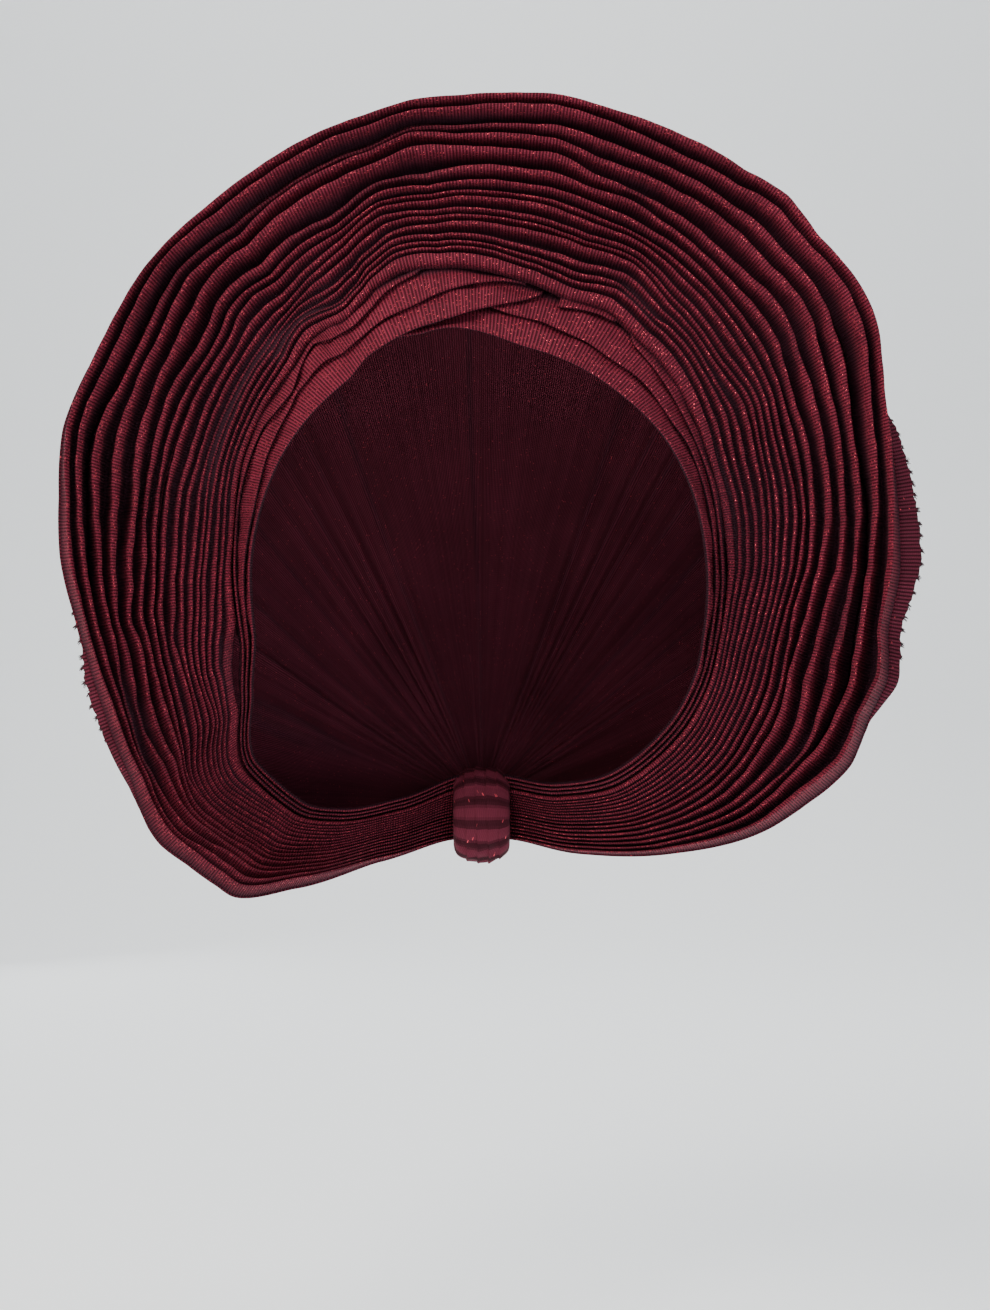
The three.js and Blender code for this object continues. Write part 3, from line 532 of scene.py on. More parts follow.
def pleat_sheet(group, step, half_steps, sizes):
    """One group of neighbouring folds as a single sheet. Its points run from the outer valley
    over each ridge to the inner valley. Threads follow each fold's own ridge."""
    at = np.linspace(NAPE_LEFT + 2, NAPE_RIGHT - 2, int((NAPE_LEFT - NAPE_RIGHT) / step))
    cut = section(at)
    ridge, top, valley, floor, sunk = fold_lines(at, cut, sizes.valley_depth)
    first, last = FOLDS[group]
    innermost = len(RIDGES) - 1
    width = cut["fan_width"]
    seam = SEAM / width
    lip_drift = wander(at, LIP_DRIFT)
    share, height, shade, fold_of = [], [], [], []
    for k in range(first, last):
        for side in (0, 1):
            end = valley[:, k + side]
            if k == first and side == 0 and k > 0:
                end = end - seam
            if k == last - 1 and side == 1 and k < innermost:
                end = end + seam
            fall = top[:, k] - floor[:, k + side]
            half = np.abs(end - ridge[:, k]) * width
            lip = np.clip(sizes.lip_width * (1 + lip_drift[:, k]), 0.25, 0.85)
            if k == innermost and side == 1:
                lip = np.full(len(at), 0.86)
            drop = np.clip(lip * half / np.maximum(fall, 0.3), 0.1, 0.55)
            across, down = half_fold(half_steps, lip, drop, (1.9, 1.35)[side])
            line = ridge[:, k, None] + (end - ridge[:, k])[:, None] * across
            rise = top[:, k, None] - fall[:, None] * down
            # Painted shade, deeper down each wall and on stretches that lie low; the outermost wall and the
            # one on the band lie open, so their painted shade is lighter
            dark = down * {(0, 0): 0.72, (innermost, 1): 0.6}.get((k, side), 1.0)
            dark = 1 - (1 - dark) * (1 - sunk[:, k, None])
            if side == 0:
                line, rise, dark = line[:, ::-1], rise[:, ::-1], dark[:, ::-1]
            skip = 1 if share else 0
            share.append(line[:, skip:])
            height.append(rise[:, skip:])
            shade.append(dark[:, skip:])
            fold_of.extend([k - first] * half_steps)
    share, height, shade = (np.concatenate(part, axis=1) for part in (share, height, shade))
    grid = in_space(fan_point(cut, share, height), at)
    middles = half_steps + 2 * half_steps * np.arange(last - first)
    along = run_length(grid[:, middles], 0)[:, fold_of]
    return grid, along, run_length(grid, 1), shade


def frayed_share(at):
    """How frayed the selvedge is at each angle, 0 to 1."""
    return np.interp(-at, -np.array(FRAY_AT), FRAYED)


def smooth_table(table, at):
    """Smooth curve through pairs of angle and value."""
    return along_ring([pair[0] for pair in table], [pair[1] for pair in table], at)


def wrap_sheet(wrap):
    """One brow wrap: a hem folded under, a half round lower edge that stands a little off the
    layer below, then the face that runs up the head with slight slanting puckers and on under
    the folds. The lift dies away from the edge as a bell curve."""
    name, start, stop, side, cross, table = wrap
    at = np.linspace(start, stop, max(40, int((start - stop) / WRAP_STEP)))
    cut = section(at)
    width = cut["band_width"]
    edge = np.minimum(smooth_table(table, at) * width, width + TUCKED - 1)
    layer = side + (cross - side) * climbed(at)
    face = layer * LAYER + CLOTH
    radius = CLOTH / 2
    hem = np.linspace(HEM, 0, 4)[:-1]
    turn = np.linspace(-np.pi / 2, np.pi / 2, 7)
    up = np.linspace(0, 1, 22)[1:]
    end = width + TUCKED
    inner_along = edge[:, None] + radius + np.minimum(hem, (end - edge - radius)[:, None] * 0.6)
    inner_height = np.broadcast_to((face - CLOTH)[:, None], inner_along.shape)
    roll_along = edge[:, None] + radius - radius * np.cos(turn)
    roll_height = (face - radius)[:, None] + radius * np.sin(turn) + EDGE_LIFT
    face_along = (edge + radius)[:, None] + (end - edge - radius)[:, None] * up
    arc = np.radians(at)[:, None] * 80
    pucker = (0.36 * np.sin(2 * np.pi * (face_along / 7.5 + arc / 31 + side * 0.31))
              + 0.24 * np.sin(2 * np.pi * (face_along / 12.0 - arc / 19 + side * 0.17)))
    grow = smoothstep(face_along - edge[:, None], 0.5, 5.0)
    face_height = face[:, None] + grow * (pucker + 0.15) + 0.25 * np.sin(np.pi * up) * grow
    face_height = face_height + EDGE_LIFT * np.exp(-((face_along - edge[:, None]) / 2.4) ** 2)
    along = np.concatenate([inner_along, roll_along, face_along], axis=1)
    height = np.concatenate([inner_height, roll_height, face_height], axis=1)
    grid = in_space(band_point(cut, along, height), at)
    fold = len(hem) + len(turn) // 2
    along_threads = np.repeat(run_length(grid[:, [fold]], 0), grid.shape[1] - 1, axis=1)
    # Painted shade on the hem and the underside of the rolled lower edge, and where the wrap runs in under
    # the folds
    shade = 0.75 * smoothstep(along, (width - 2.5)[:, None], (width + 1.5)[:, None])
    shade[:, :fold] = 0.9
    shade[:, fold] = 0.45
    return name, grid, along_threads, run_length(grid, 1), shade


def knot_centre():
    """Middle of the knot on the plane that points straight down, in millimetres."""
    cut = section(np.array([270.0]))
    middle = (cut["tuck"][0] + cut["rim"][0]) / 2
    return np.array([0.0, middle[1], AXIS_HEIGHT - middle[0]])


def selvedge_lines(at, cut):
    """Where the back cloth's lines start, in millimetres: from the selvedge in to the rim fold's
    edge, then behind that fold up to the corner where the cloth turns back. Where it is frayed
    the selvedge is uneven, and where it stands out it waves. Gives the points and the corner."""
    shares = [along_ring(RIDGES_AT, row, at) for row in RIDGES[:2]]
    fold = np.minimum(FOLD_DEPTH, PLEAT_STEEPNESS * (shares[0] - shares[1]) * cut["fan_width"])
    behind = behind_rim(fold, cut["fan_width"])
    ends = fan_point(cut, np.tile([1.0, 0.92], (len(at), 1)), np.zeros((len(at), 2)))
    local = unit(ends[:, 0] - ends[:, 1])
    out = np.stack([local[:, 1], -local[:, 0]], axis=-1)
    base = ends[:, 0] - out * behind[:, None]
    corner = base + local * ((-3.0 + behind * out[:, 0]) / local[:, 0])[:, None]
    fold_end = ends[:, 0] - cut["fan_out"] * (behind - 0.5)[:, None]
    flap = along_ring(FLAP_AT, FLAP_OUT, at)
    serrated = np.random.default_rng(21).uniform(-0.55, 0.35, len(at)) * frayed_share(at)
    tip_x = np.maximum(corner[:, 0] + flap + 3 + serrated, fold_end[:, 0] + 0.3)
    tip = np.stack([tip_x, fold_end[:, 1] + 0.3 * (tip_x - fold_end[:, 0])], axis=1)
    step = np.linspace(0, 1, FLAP_STEPS + 1)[None, :-1, None]
    lines = np.concatenate([tip[:, None] + (fold_end - tip)[:, None] * step,
                            fold_end[:, None] + (corner - fold_end)[:, None] * step], axis=1)
    wave = 0.5 * np.sin(np.radians(at) * 31) + 0.4 * np.sin(np.radians(at) * 17 + 1.3)
    dying = np.concatenate([1 - step[0, :, 0], np.zeros(FLAP_STEPS)])
    lines[..., 1] += wave[:, None] * dying * smoothstep(flap, 0, 4)[:, None]
    return in_space(lines, at) * 1000, in_space(corner[:, None], at)[:, 0] * 1000


def bonnet_lines(start, around):
    """Cubic curves from each start to the knot, in millimetres. They leave straight back, with a
    lean to the head's middle, and arrive from outside on an oval round the knot."""
    turn = np.pi * around
    oval = np.stack([-np.cos(turn) * KNOT_HALF_HEIGHT * 0.5, np.full_like(turn, KNOT_HALF_DEPTH * 0.55),
                     np.sin(turn) * KNOT_HALF_HEIGHT * 0.70], axis=-1)
    end = knot_centre() + oval
    flat = np.array([1, 0, 1])
    reach = np.linalg.norm(end - start, axis=1)[:, None]
    inward = unit((np.array([0, 0, AXIS_HEIGHT]) - start) * flat)
    turn_in = -0.12 + 0.34 * smoothstep(start[:, 2], -BROW_RADIUS * 1.5, -BROW_RADIUS * 0.8)
    leaving = unit(np.array([0, 0.97, 0]) + inward * turn_in[:, None])
    outward = unit((start - end) * flat)
    rise = ARRIVING_RISE * np.maximum(0.35, outward[:, 2])
    arriving = outward * np.cos(rise)[:, None]
    arriving[:, 1] += np.sin(rise)
    t = np.linspace(0, 1, BONNET_STEPS + 1)[None, :, None]
    first_pull = (start + leaving * LEAVING_REACH * reach)[:, None]
    last_pull = (end + arriving * ARRIVING_REACH * reach)[:, None]
    return (start[:, None] * (1 - t) ** 3 + 3 * first_pull * t * (1 - t) ** 2
            + 3 * last_pull * t ** 2 * (1 - t) + end[:, None] * t ** 3)


def gathers(around, s):
    """Height and shade of the gathers. Round folds, with finer ones between them near the knot,
    are powers of a cosine that meet in narrow valleys. They swell along the line by s (1 - s)
    to the power 1.2, and waver a little from side to side."""
    swell = 0.12 * smoothstep(s, 0, 0.1) + 2.9 * s * (1 - s) ** 1.2
    phase = around * GATHERS + 0.9 * np.sin(around * 19) + 0.35 * np.sin(around * 47 + 2)
    phase = phase[:, None] * np.pi + 0.4 * np.sin(4.5 * s + 11 * around[:, None]) * s * (1 - s) * 4
    broad = 2 * np.abs(np.cos(phase)) ** 0.75 - 1.15
    finer = 2 * np.abs(np.cos(2.1 * phase + 0.7)) ** 0.8 - 1.2
    height = swell * (0.72 * broad + 0.42 * finer * smoothstep(s, 0.3, 0.9))
    height = height * (0.8 + 0.35 * np.sin(around[:, None] * 29 + 4 * s))
    return height, smoothstep(-broad, 0.2, 1.15) * smoothstep(s, 0.05, 0.35) * 0.45


def back_sheet(sizes):
    """The cloth over the back of the head: each line starts at the selvedge, goes in behind the
    rim fold and runs to the knot, and is moved along the surface's normal by the gathers. Also
    gives the selvedge's own line, for its loose threads."""
    at = np.linspace(NAPE_LEFT, NAPE_RIGHT, BACK_ANGLES)
    around = (NAPE_LEFT - at) / (NAPE_LEFT - NAPE_RIGHT)
    flap, start = selvedge_lines(at, section(at))
    grid = np.concatenate([flap, bonnet_lines(start, around)], axis=1)
    normal = unit(np.cross(np.gradient(grid, axis=0), np.gradient(grid, axis=1)))
    if np.mean(normal[:, -30:-10] * (grid[:, -30:-10] - np.array([0, 0, 10.0]))) < 0:
        normal = -normal
    s = np.concatenate([np.zeros(2 * FLAP_STEPS), np.linspace(0, 1, BONNET_STEPS + 1)])[None, :]
    height, valley = gathers(around, s)
    grid = (grid + normal * (sizes.gather_height * 1000 * height)[..., None]) * 0.001
    across = np.repeat(run_length(grid[:, [20]], 0), grid.shape[1], axis=1)
    return grid, run_length(grid, 1), across, valley, at, flap[:, 0] * 0.001


def fringe_threads(edge, outward, frayed, longest):
    """Loose threads on the selvedge, as thin three-sided tubes that bend down under their own
    weight: tufts of threads every 4 to 6 mm and single threads between them. A thread's middle
    line is its root plus its direction times t, less a sag of t squared."""
    rng = np.random.default_rng(31)
    run = run_length(edge, 0)
    total = run[-1]
    tufts = np.cumsum(rng.uniform(0.004, 0.006, int(total / 0.004)))
    tufts = tufts[tufts < total]
    in_tufts = (tufts[:, None] + rng.normal(0, 0.00035, (len(tufts), 16))).ravel()
    single = rng.uniform(0, total, int(total / 0.0009))
    place = np.clip(np.concatenate([in_tufts, single]), 0, total)
    size = longest * np.concatenate(
        [rng.uniform(0.35, 0.8, len(in_tufts)), rng.uniform(0.08, 0.3, len(single))])
    loose = np.interp(place, run, frayed)
    keep = loose > 0.35
    place, size = place[keep], size[keep] * loose[keep]
    root = np.stack([np.interp(place, run, edge[:, i]) for i in range(3)], axis=1)
    way = np.stack([np.interp(place, run, outward[:, i]) for i in range(3)], axis=1)
    way = unit(way + rng.normal(0, 0.3, way.shape))
    root = root - way * 0.0004
    t = np.linspace(0, 1, 5)[None, :, None]
    line = root[:, None] + way[:, None] * size[:, None, None] * t
    line = line - np.array([0, 0, 0.35]) * (size[:, None, None] * t ** 2)
    side = unit(np.cross(way, np.array([0.3, 0.2, 0.93])))
    other = np.cross(way, side)
    turn = np.array([0, 2, 4]) * np.pi / 3
    ring = side[:, None] * np.cos(turn)[None, :, None] + other[:, None] * np.sin(turn)[None, :, None]
    thin = FRINGE_THICKNESS * np.array([1.0, 1.0, 0.9, 0.8, 0.5])[None, :, None, None]
    points = line[:, :, None] + ring[:, None] * thin
    block = grid_faces(5, 3, closed=True)
    first = 15 * np.arange(len(points))
    faces = (first[:, None, None] + block).reshape(-1, 4)
    ends = first[:, None] + np.array([[0, 2, 1], [12, 13, 14]]).reshape(1, 6)
    return points.reshape(-1, 3), faces, ends.reshape(-1, 3)


def knot_sheet():
    """The knot as a barrel across the nape. Its radius swells to the middle, and three layers of
    cloth wind round it as soft steps that slant with the turn."""
    centre = knot_centre()
    turn = np.linspace(0, 2 * np.pi, KNOT_ANGLES + 1)[:-1]
    place = np.linspace(-1, 1, 61)
    side = place[:, None]
    plump = 0.66 + 0.36 * np.sqrt(np.clip(1 - side ** 2, 0, 1)) ** 0.9
    slant = side * 2.6 + 0.35 * np.sin(turn)[None, :] + turn[None, :] / (2 * np.pi) * 1.0
    layer = slant - np.floor(slant)
    step = 0.045 * (1 - layer) ** 2 - 0.03 * smoothstep(layer, 0.94, 1.0)
    crease = 0.012 * np.sin(turn * 7 + side * 5) + 0.008 * np.sin(turn * 13 - side * 8)
    radius = plump * (1 + crease) + step * (1 - side ** 4)
    y = centre[1] + KNOT_HALF_DEPTH * radius * np.cos(turn)
    z = centre[2] + KNOT_HALF_HEIGHT * radius * np.sin(turn)
    x = np.broadcast_to(side * KNOT_HALF_WIDTH, y.shape)
    grid = np.stack([x, y, z], axis=-1) * 0.001
    hub = centre * 0.001
    closing = np.array([0.0, 0.45, 0.8])[:, None, None]
    left = hub + (grid[0] - hub) * closing
    right = hub + (grid[-1] - hub) * closing[::-1]
    left[..., 0] = grid[0, 0, 0] + 0.0004 * closing[..., 0]
    right[..., 0] = grid[-1, 0, 0] - 0.0004 * closing[::-1][..., 0]
    grid = np.concatenate([left, grid, right], axis=0)
    # Painted shade at the edge of each step of cloth and on the closed ends of the barrel
    ends = np.full((len(closing), KNOT_ANGLES), 0.5)
    valley = np.concatenate([ends, 0.24 * smoothstep(layer, 0.85, 1.0), ends])
    along = np.broadcast_to(np.arange(KNOT_ANGLES)[None, :] * 0.001, grid.shape[:2])
    across = run_length(grid, 0)
    return grid, along, across, valley


def add_node(tree, kind, links=None, **settings):
    """Adds a node with its settings. links gives each input a value or the socket it reads."""
    node = tree.nodes.new(kind)
    for name, value in settings.items():
        setattr(node, name, value)
    for socket, source in (links or {}).items():
        if isinstance(source, bpy.types.NodeSocket):
            tree.links.new(source, node.inputs[socket])
        else:
            node.inputs[socket].default_value = source
    return node


def blank_material(name):
    """A new material and its empty node tree."""
    material = bpy.data.materials.new(name)
    material.use_nodes = True
    material.node_tree.nodes.clear()
    return material, material.node_tree


def ribbed_cloth(name, colour, glitter_share, roughness, shade):
    """Ribbed sego cloth, woven: stiff cotton and rayon ribs across a fine warp, with flat
    metallic threads, so it is matt between ribs, softly shiny on them, with sparse sparks."""
    colours = bpy.context.scene.gele_colours
    rib_pitch = bpy.context.scene.gele_sizes.rib_pitch
    material, tree = blank_material(name)
    uv = add_node(tree, "ShaderNodeUVMap", uv_map="threads")
    parts = add_node(tree, "ShaderNodeSeparateXYZ", {0: uv.outputs[0]})
    place = add_node(tree, "ShaderNodeTexCoord")
    valley = add_node(tree, "ShaderNodeAttribute", attribute_name="valley")
    counts, waves = [], []
    for distance, pitch in zip(parts.outputs, (rib_pitch, WARP_PITCH)):
        count = add_node(tree, "ShaderNodeMath", {0: distance, 1: 1 / pitch}, operation="MULTIPLY")
        turn = add_node(tree, "ShaderNodeMath", {0: count.outputs[0], 1: 2 * math.pi}, operation="MULTIPLY")
        counts.append(count)
        waves.append(add_node(tree, "ShaderNodeMath", {0: turn.outputs[0]}, operation="COSINE"))
    rib_count, warp_count = counts
    rib_wave, warp_wave = waves
    rib = add_node(tree, "ShaderNodeMapRange", {0: rib_wave.outputs[0], 1: -1.0, 2: 0.6, 3: 0.0, 4: 1.0},
                   interpolation_type="SMOOTHSTEP")
    # One random value for each crossing of rib and warp, where a dot of glitter may lie
    cell = add_node(tree, "ShaderNodeCombineXYZ", {0: rib_count.outputs[0], 1: warp_count.outputs[0]})
    cell_floor = add_node(tree, "ShaderNodeVectorMath", {0: cell.outputs[0]}, operation="FLOOR")
    cell_value = add_node(tree, "ShaderNodeTexWhiteNoise", {"Vector": cell_floor.outputs[0]},
                          noise_dimensions="2D")
    cell_part = add_node(tree, "ShaderNodeVectorMath", {0: cell.outputs[0]}, operation="FRACTION")
    cell_middle = add_node(tree, "ShaderNodeMapRange", {
        6: cell_value.outputs["Color"], 9: (0.3, 0.3, 0.0), 10: (0.7, 0.7, 0.0)}, data_type="FLOAT_VECTOR")
    cell_off = add_node(tree, "ShaderNodeVectorMath", {
        0: cell_part.outputs[0], 1: cell_middle.outputs["Vector"]}, operation="DISTANCE")
    cell_dot = add_node(tree, "ShaderNodeMapRange", {
        0: cell_off.outputs["Value"], 1: 0.12, 2: 0.28, 3: 1.0, 4: 0.0})
    spark = add_node(tree, "ShaderNodeMath", {0: cell_value.outputs["Value"], 1: 1 - glitter_share},
                     operation="GREATER_THAN")
    # The metallic threads lie everywhere, but their sparks are kept to the crests and left out of the
    # valleys: painted shade
    crest = add_node(tree, "ShaderNodeMapRange", {0: valley.outputs["Fac"], 1: 0.05, 2: 0.55, 3: 1.0, 4: 0.0})
    for factor in (cell_dot, crest):
        spark = add_node(tree, "ShaderNodeMath", {0: spark.outputs[0], 1: factor.outputs[0]},
                         operation="MULTIPLY")
    # Each rib takes the dye a little differently, and the cloth has broad lighter and darker areas
    rib_floor = add_node(tree, "ShaderNodeMath", {0: rib_count.outputs[0]}, operation="FLOOR")
    rib_value = add_node(tree, "ShaderNodeTexWhiteNoise", {"W": rib_floor.outputs[0]}, noise_dimensions="1D")
    cloud = add_node(tree, "ShaderNodeTexNoise", {
        "Vector": place.outputs["Object"], "Scale": 28.0, "Detail": 3.0})
    tone = add_node(tree, "ShaderNodeMapRange", {0: rib_value.outputs["Value"], 3: 0.86, 4: 1.1})
    tone_cloud = add_node(tree, "ShaderNodeMapRange", {0: cloud.outputs[0], 1: 0.3, 2: 0.7, 3: 0.84, 4: 1.14})
    # Painted shade in the grooves between ribs and between warp threads, with lighter rib tops
    rib_groove_shade = add_node(tree, "ShaderNodeMapRange", {0: rib.outputs[0], 3: 0.36, 4: 1.25})
    warp_groove_shade = add_node(tree, "ShaderNodeMapRange", {
        0: warp_wave.outputs[0], 1: -1.0, 2: 1.0, 3: 0.86, 4: 1.08})
    for factor in (tone_cloud, rib_groove_shade, warp_groove_shade):
        tone = add_node(tree, "ShaderNodeMath", {0: tone.outputs[0], 1: factor.outputs[0]},
                        operation="MULTIPLY")
    lit = add_node(tree, "ShaderNodeMix", {0: 1.0, 6: (*colour, 1), 7: tone.outputs[0]},
                   data_type="RGBA", blend_type="MULTIPLY")
    # Painted shade: the valley attribute mixes the colour towards the valley colour, down in folds, under
    # edges, between gathers and on the knot
    depth = add_node(tree, "ShaderNodeMapRange", {
        0: valley.outputs["Fac"], 1: 0.08, 2: 0.86, 3: 0.0, 4: shade}, interpolation_type="SMOOTHSTEP")
    # Here and there the ribs still catch a little light down in a valley
    tick_place = add_node(tree, "ShaderNodeMapRange", {0: cloud.outputs[0], 1: 0.58, 2: 0.70, 3: 0.0, 4: 0.2})
    tick = add_node(tree, "ShaderNodeMath", {0: rib.outputs[0], 1: tick_place.outputs[0]},
                    operation="MULTIPLY")
    floor = add_node(tree, "ShaderNodeMix", {
        0: tick.outputs[0], 6: (*colours.valley, 1), 7: (*colours.tick, 1)}, data_type="RGBA")
    deep = add_node(tree, "ShaderNodeMix", {0: depth.outputs[0], 6: lit.outputs[2], 7: floor.outputs[2]},
                    data_type="RGBA")
    paint = add_node(tree, "ShaderNodeMix", {
        0: spark.outputs[0], 6: deep.outputs[2], 7: (*colours.glitter, 1)}, data_type="RGBA")
    relief_warp = add_node(tree, "ShaderNodeMath", {0: warp_wave.outputs[0], 1: 0.12, 2: 0.0},
                           operation="MULTIPLY_ADD")
    relief = add_node(tree, "ShaderNodeMath", {0: rib.outputs[0], 1: relief_warp.outputs[0]},
                      operation="ADD")
    bump = add_node(tree, "ShaderNodeBump", {
        "Strength": 0.9, "Distance": 0.00045, "Height": relief.outputs[0]})
    rough = add_node(tree, "ShaderNodeMapRange", {0: spark.outputs[0], 3: roughness, 4: 0.25})
    metal = add_node(tree, "ShaderNodeMath", {0: spark.outputs[0], 1: 0.9}, operation="MULTIPLY")
    shader = add_node(tree, "ShaderNodeBsdfPrincipled", {
        "Base Color": paint.outputs[2], "Roughness": rough.outputs[0], "Metallic": metal.outputs[0],
        "Normal": bump.outputs[0], "Specular IOR Level": 0.08, "Sheen Weight": 0.03,
        "Sheen Roughness": 0.4, "Sheen Tint": (0.9, 0.45, 0.5, 1)})
    add_node(tree, "ShaderNodeOutputMaterial", {0: shader.outputs[0]})
    return material


def thread_material(colours):
    """Loose cotton thread, twisted: matt and dark, a little lighter at random."""
    material, tree = blank_material("loose_cotton_thread_twisted")
    place = add_node(tree, "ShaderNodeTexCoord")
    noise = add_node(tree, "ShaderNodeTexNoise", {"Vector": place.outputs["Object"], "Scale": 900.0})
    tone = add_node(tree, "ShaderNodeMapRange", {0: noise.outputs[0], 1: 0.3, 2: 0.7, 3: 0.6, 4: 1.5})
    paint = add_node(tree, "ShaderNodeMix", {0: 1.0, 6: (*colours.fray, 1), 7: tone.outputs[0]},
                     data_type="RGBA", blend_type="MULTIPLY")
    shader = add_node(tree, "ShaderNodeBsdfPrincipled", {"Base Color": paint.outputs[2], "Roughness": 0.8})
    add_node(tree, "ShaderNodeOutputMaterial", {0: shader.outputs[0]})
    return material


def backdrop_material(colours):
    """Matt emulsion paint, rolled: pale, with the faint stipple of the roller."""
    material, tree = blank_material("matt_emulsion_paint_rolled")
    place = add_node(tree, "ShaderNodeTexCoord")
    noise = add_node(tree, "ShaderNodeTexNoise", {"Vector": place.outputs["Object"], "Scale": 300.0})
    bump = add_node(tree, "ShaderNodeBump", {"Strength": 0.1, "Distance": 0.0005, "Height": noise.outputs[0]})
    shader = add_node(tree, "ShaderNodeBsdfPrincipled", {
        "Base Color": (*colours.backdrop, 1), "Roughness": 0.85, "Normal": bump.outputs[0]})
    add_node(tree, "ShaderNodeOutputMaterial", {0: shader.outputs[0]})
    return material


def cloth_material(side):
    """The face, the plainer side or the unshaded reverse of the cloth, each made once."""
    name = f"sego_cloth_woven_{side}"
    found = bpy.data.materials.get(name)
    if found:
        return found
    colour_name, glitter_share, roughness, shade = FINISHES[side]
    colour = getattr(bpy.context.scene.gele_colours, colour_name)
    return ribbed_cloth(name, colour, glitter_share, roughness, shade)


class GELE_OT_pleats(bpy.types.Operator):
    """Makes the rim folds, the broad folds and the fine folds of the fan"""
    bl_idname = "gele.pleats"
    bl_label = "Pleated fan"

    def execute(self, context):
        sizes = context.scene.gele_sizes
        material = cloth_material("face")
        for group, step, half_steps in (("rim", 0.75, 9), ("broad", 0.75, 8), ("fine", 0.85, 5)):
            grid, along, across, valley = pleat_sheet(group, step, half_steps, sizes)
            piece = cloth_object(f"{group}_folds", grid, along, across, valley, material, (0, 1.0, 0))
            thicken(piece, sizes.cloth_thickness, cloth_material("reverse"))
            declare(piece, [f"{group}_pleats"])
        return {"FINISHED"}


class GELE_OT_brow(bpy.types.Operator):
    """Makes the smooth wraps over the brow, which cross at the middle"""
    bl_idname = "gele.brow"
    bl_label = "Brow wraps"

    def execute(self, context):
        sizes = context.scene.gele_sizes
        material = cloth_material("face")
        for wrap in BROW_WRAPS:
            name, grid, along, across, valley = wrap_sheet(wrap)
            piece = cloth_object(name.replace("brow_wrap", "brow_cloth"), grid, along, across, valley,
                                 material, (0, 0.1, 0.015))
            thicken(piece, sizes.cloth_thickness * 0.6)
            declare(piece, [name])
        return {"FINISHED"}


class GELE_OT_back(bpy.types.Operator):
    """Makes the gathered cloth over the back of the head with its loose selvedge"""
    bl_idname = "gele.back"
    bl_label = "Gathered back"

    def execute(self, context):
        sizes = context.scene.gele_sizes
        grid, along, across, valley, at, edge = back_sheet(sizes)
        piece = cloth_object("back_cloth", grid, across[:, :-1], along, valley,
                             cloth_material("plain"), (0, 0, 0.01))
        thicken(piece, sizes.cloth_thickness)
        turn = np.radians(at)
        outward = np.stack([np.cos(turn), np.full(len(at), 0.25), np.sin(turn)], axis=1)
        points, faces, ends = fringe_threads(edge, outward, frayed_share(at), sizes.fringe_length)
        mesh = bpy.data.meshes.new("selvedge_fringe")
        mesh.from_pydata(points.tolist(), [], faces.tolist() + ends.tolist())
        mesh.materials.append(thread_material(context.scene.gele_colours))
        fringe = bpy.data.objects.new("selvedge_fringe", mesh)
        context.scene.collection.objects.link(fringe)
        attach(fringe, "root")
        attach(piece, "root")
        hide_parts("back_wrap")
        return {"FINISHED"}


class GELE_OT_knot(bpy.types.Operator):
    """Makes the plain knot at the nape"""
    bl_idname = "gele.knot"
    bl_label = "Nape knot"

    def execute(self, context):
        grid, along, across, valley = knot_sheet()
        piece = cloth_object("knot_cloth", grid, along, across, valley, cloth_material("plain"),
                             tuple(knot_centre() * 0.001), closed=True)
        declare(piece, ["nape_knot"])
        return {"FINISHED"}


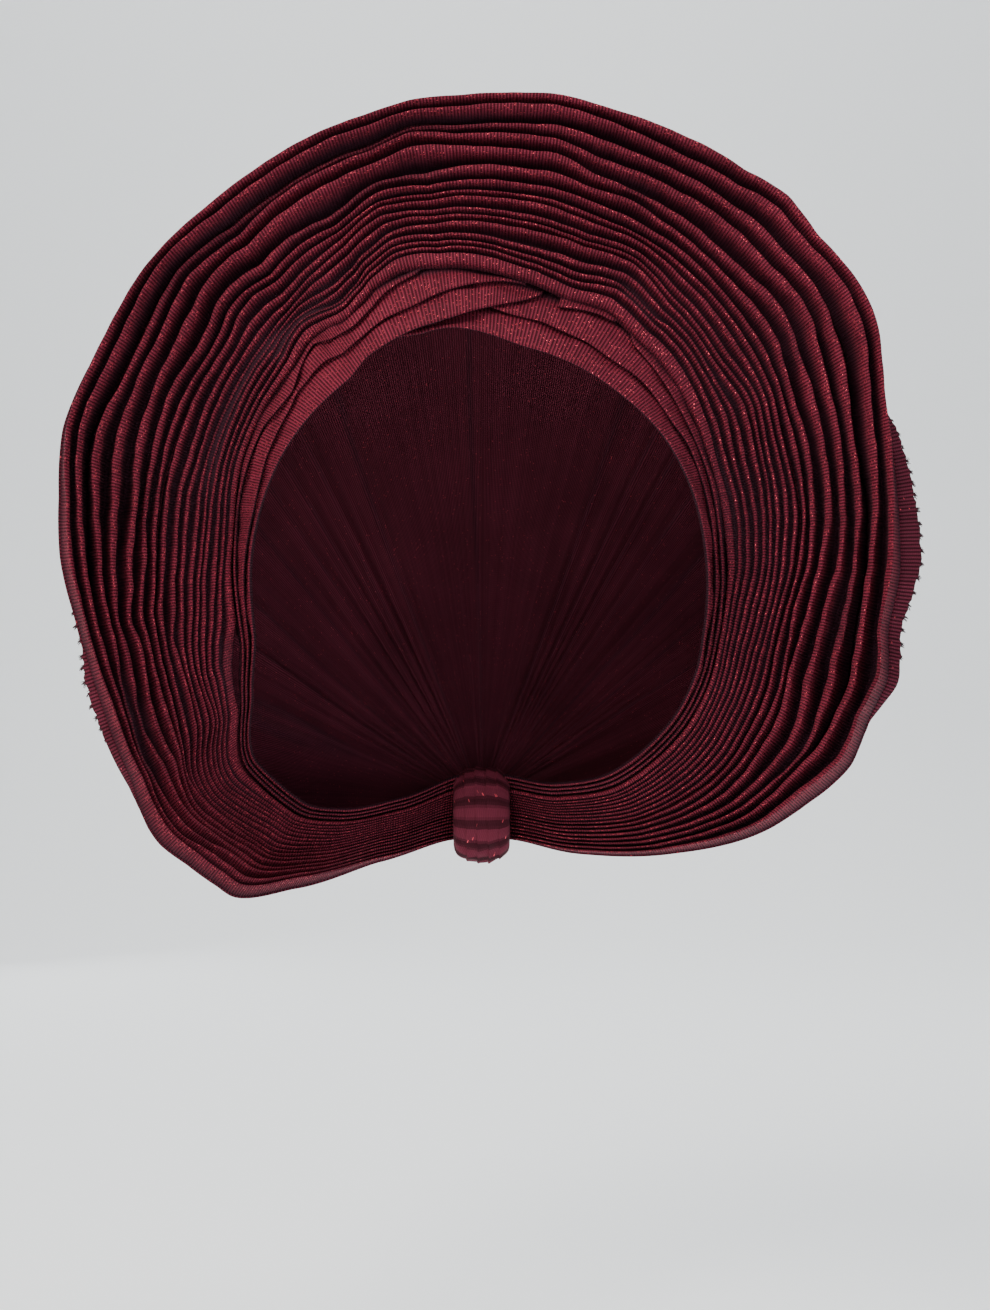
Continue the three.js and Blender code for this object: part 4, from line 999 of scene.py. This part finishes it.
class GELE_OT_stage(bpy.types.Operator):
    """Makes the pale floor and wall, the soft lights and the camera"""
    bl_idname = "gele.stage"
    bl_label = "Stage"

    def execute(self, context):
        colours = context.scene.gele_colours
        turn = np.linspace(0, np.pi / 2, 17)
        bend = np.stack([WALL - BEND + BEND * np.sin(turn), FLOOR + BEND - BEND * np.cos(turn)], axis=-1)
        profile = np.concatenate([[[-REACH, FLOOR]], bend, [[WALL, REACH]]])
        x = np.linspace(-HALF_WIDTH, HALF_WIDTH, 3)[:, None]
        grid = np.stack(np.broadcast_arrays(x, profile[:, 0], profile[:, 1]), axis=-1)
        along = np.repeat(run_length(grid, 0)[:, :1], len(profile) - 1, axis=1)
        across = run_length(grid, 1)
        sweep = cloth_object("studio_sweep", grid, along, across, np.zeros(across.shape),
                             backdrop_material(colours), (0, 5.0, -5.0))
        for name, power, size, place, target, colour in LIGHTS:
            data = bpy.data.lights.new(name, "AREA")
            data.energy = power
            data.size = size
            data.color = linear(colour)
            lamp = bpy.data.objects.new(name, data)
            lamp.location = place
            aim = np.array(target) - np.array(place)
            tilt = math.atan2(math.hypot(aim[0], aim[1]), -aim[2])
            lamp.rotation_euler = (tilt, 0, math.atan2(aim[0], -aim[1]) + math.pi)
            context.scene.collection.objects.link(lamp)
        world = bpy.data.worlds.new("studio_air")
        world.use_nodes = True
        air = world.node_tree.nodes["Background"]
        air.inputs[0].default_value = (*linear("E8ECF2"), 1)
        air.inputs[1].default_value = 0.5
        context.scene.world = world
        data = bpy.data.cameras.new("front_camera")
        data.sensor_fit = "VERTICAL"
        data.sensor_height = FILM_HEIGHT
        data.lens = FILM_HEIGHT / 2 * -CAMERA_PLACE[1] * 1000 / CAMERA_HALF_VIEW
        camera = bpy.data.objects.new("front_camera", data)
        camera.location = CAMERA_PLACE
        camera.rotation_euler = (math.pi / 2, 0, 0)
        context.scene.collection.objects.link(camera)
        context.scene.camera = camera
        return {"FINISHED"}


class GELE_PT_panel(bpy.types.Panel):
    """Lists the steps that dress the head tie"""
    bl_idname = "GELE_PT_panel"
    bl_label = "Gele head tie"
    bl_space_type = "VIEW_3D"
    bl_region_type = "UI"
    bl_category = "Gele"

    def draw(self, context):
        for group in (context.scene.gele_sizes, context.scene.gele_colours):
            for name in group.__annotations__:
                self.layout.prop(group, name)
        for step in STEPS:
            self.layout.operator(step.bl_idname)


STEPS = (GELE_OT_pleats, GELE_OT_brow, GELE_OT_back, GELE_OT_knot, GELE_OT_stage)
CLASSES = (GeleSizes, GeleColours, *STEPS, GELE_PT_panel)


def register():
    """Registers the classes and hangs the settings on the scene."""
    for item in CLASSES:
        bpy.utils.register_class(item)
    bpy.types.Scene.gele_sizes = bpy.props.PointerProperty(type=GeleSizes)
    bpy.types.Scene.gele_colours = bpy.props.PointerProperty(type=GeleColours)


def unregister():
    """Takes the settings and the classes away again."""
    del bpy.types.Scene.gele_colours
    del bpy.types.Scene.gele_sizes
    for item in reversed(CLASSES):
        bpy.utils.unregister_class(item)


def main():
    """Makes every piece in order."""
    register()
    bpy.ops.gele.pleats()
    bpy.ops.gele.brow()
    bpy.ops.gele.back()
    bpy.ops.gele.knot()
    bpy.ops.gele.stage()


if __name__ == "__main__":
    main()
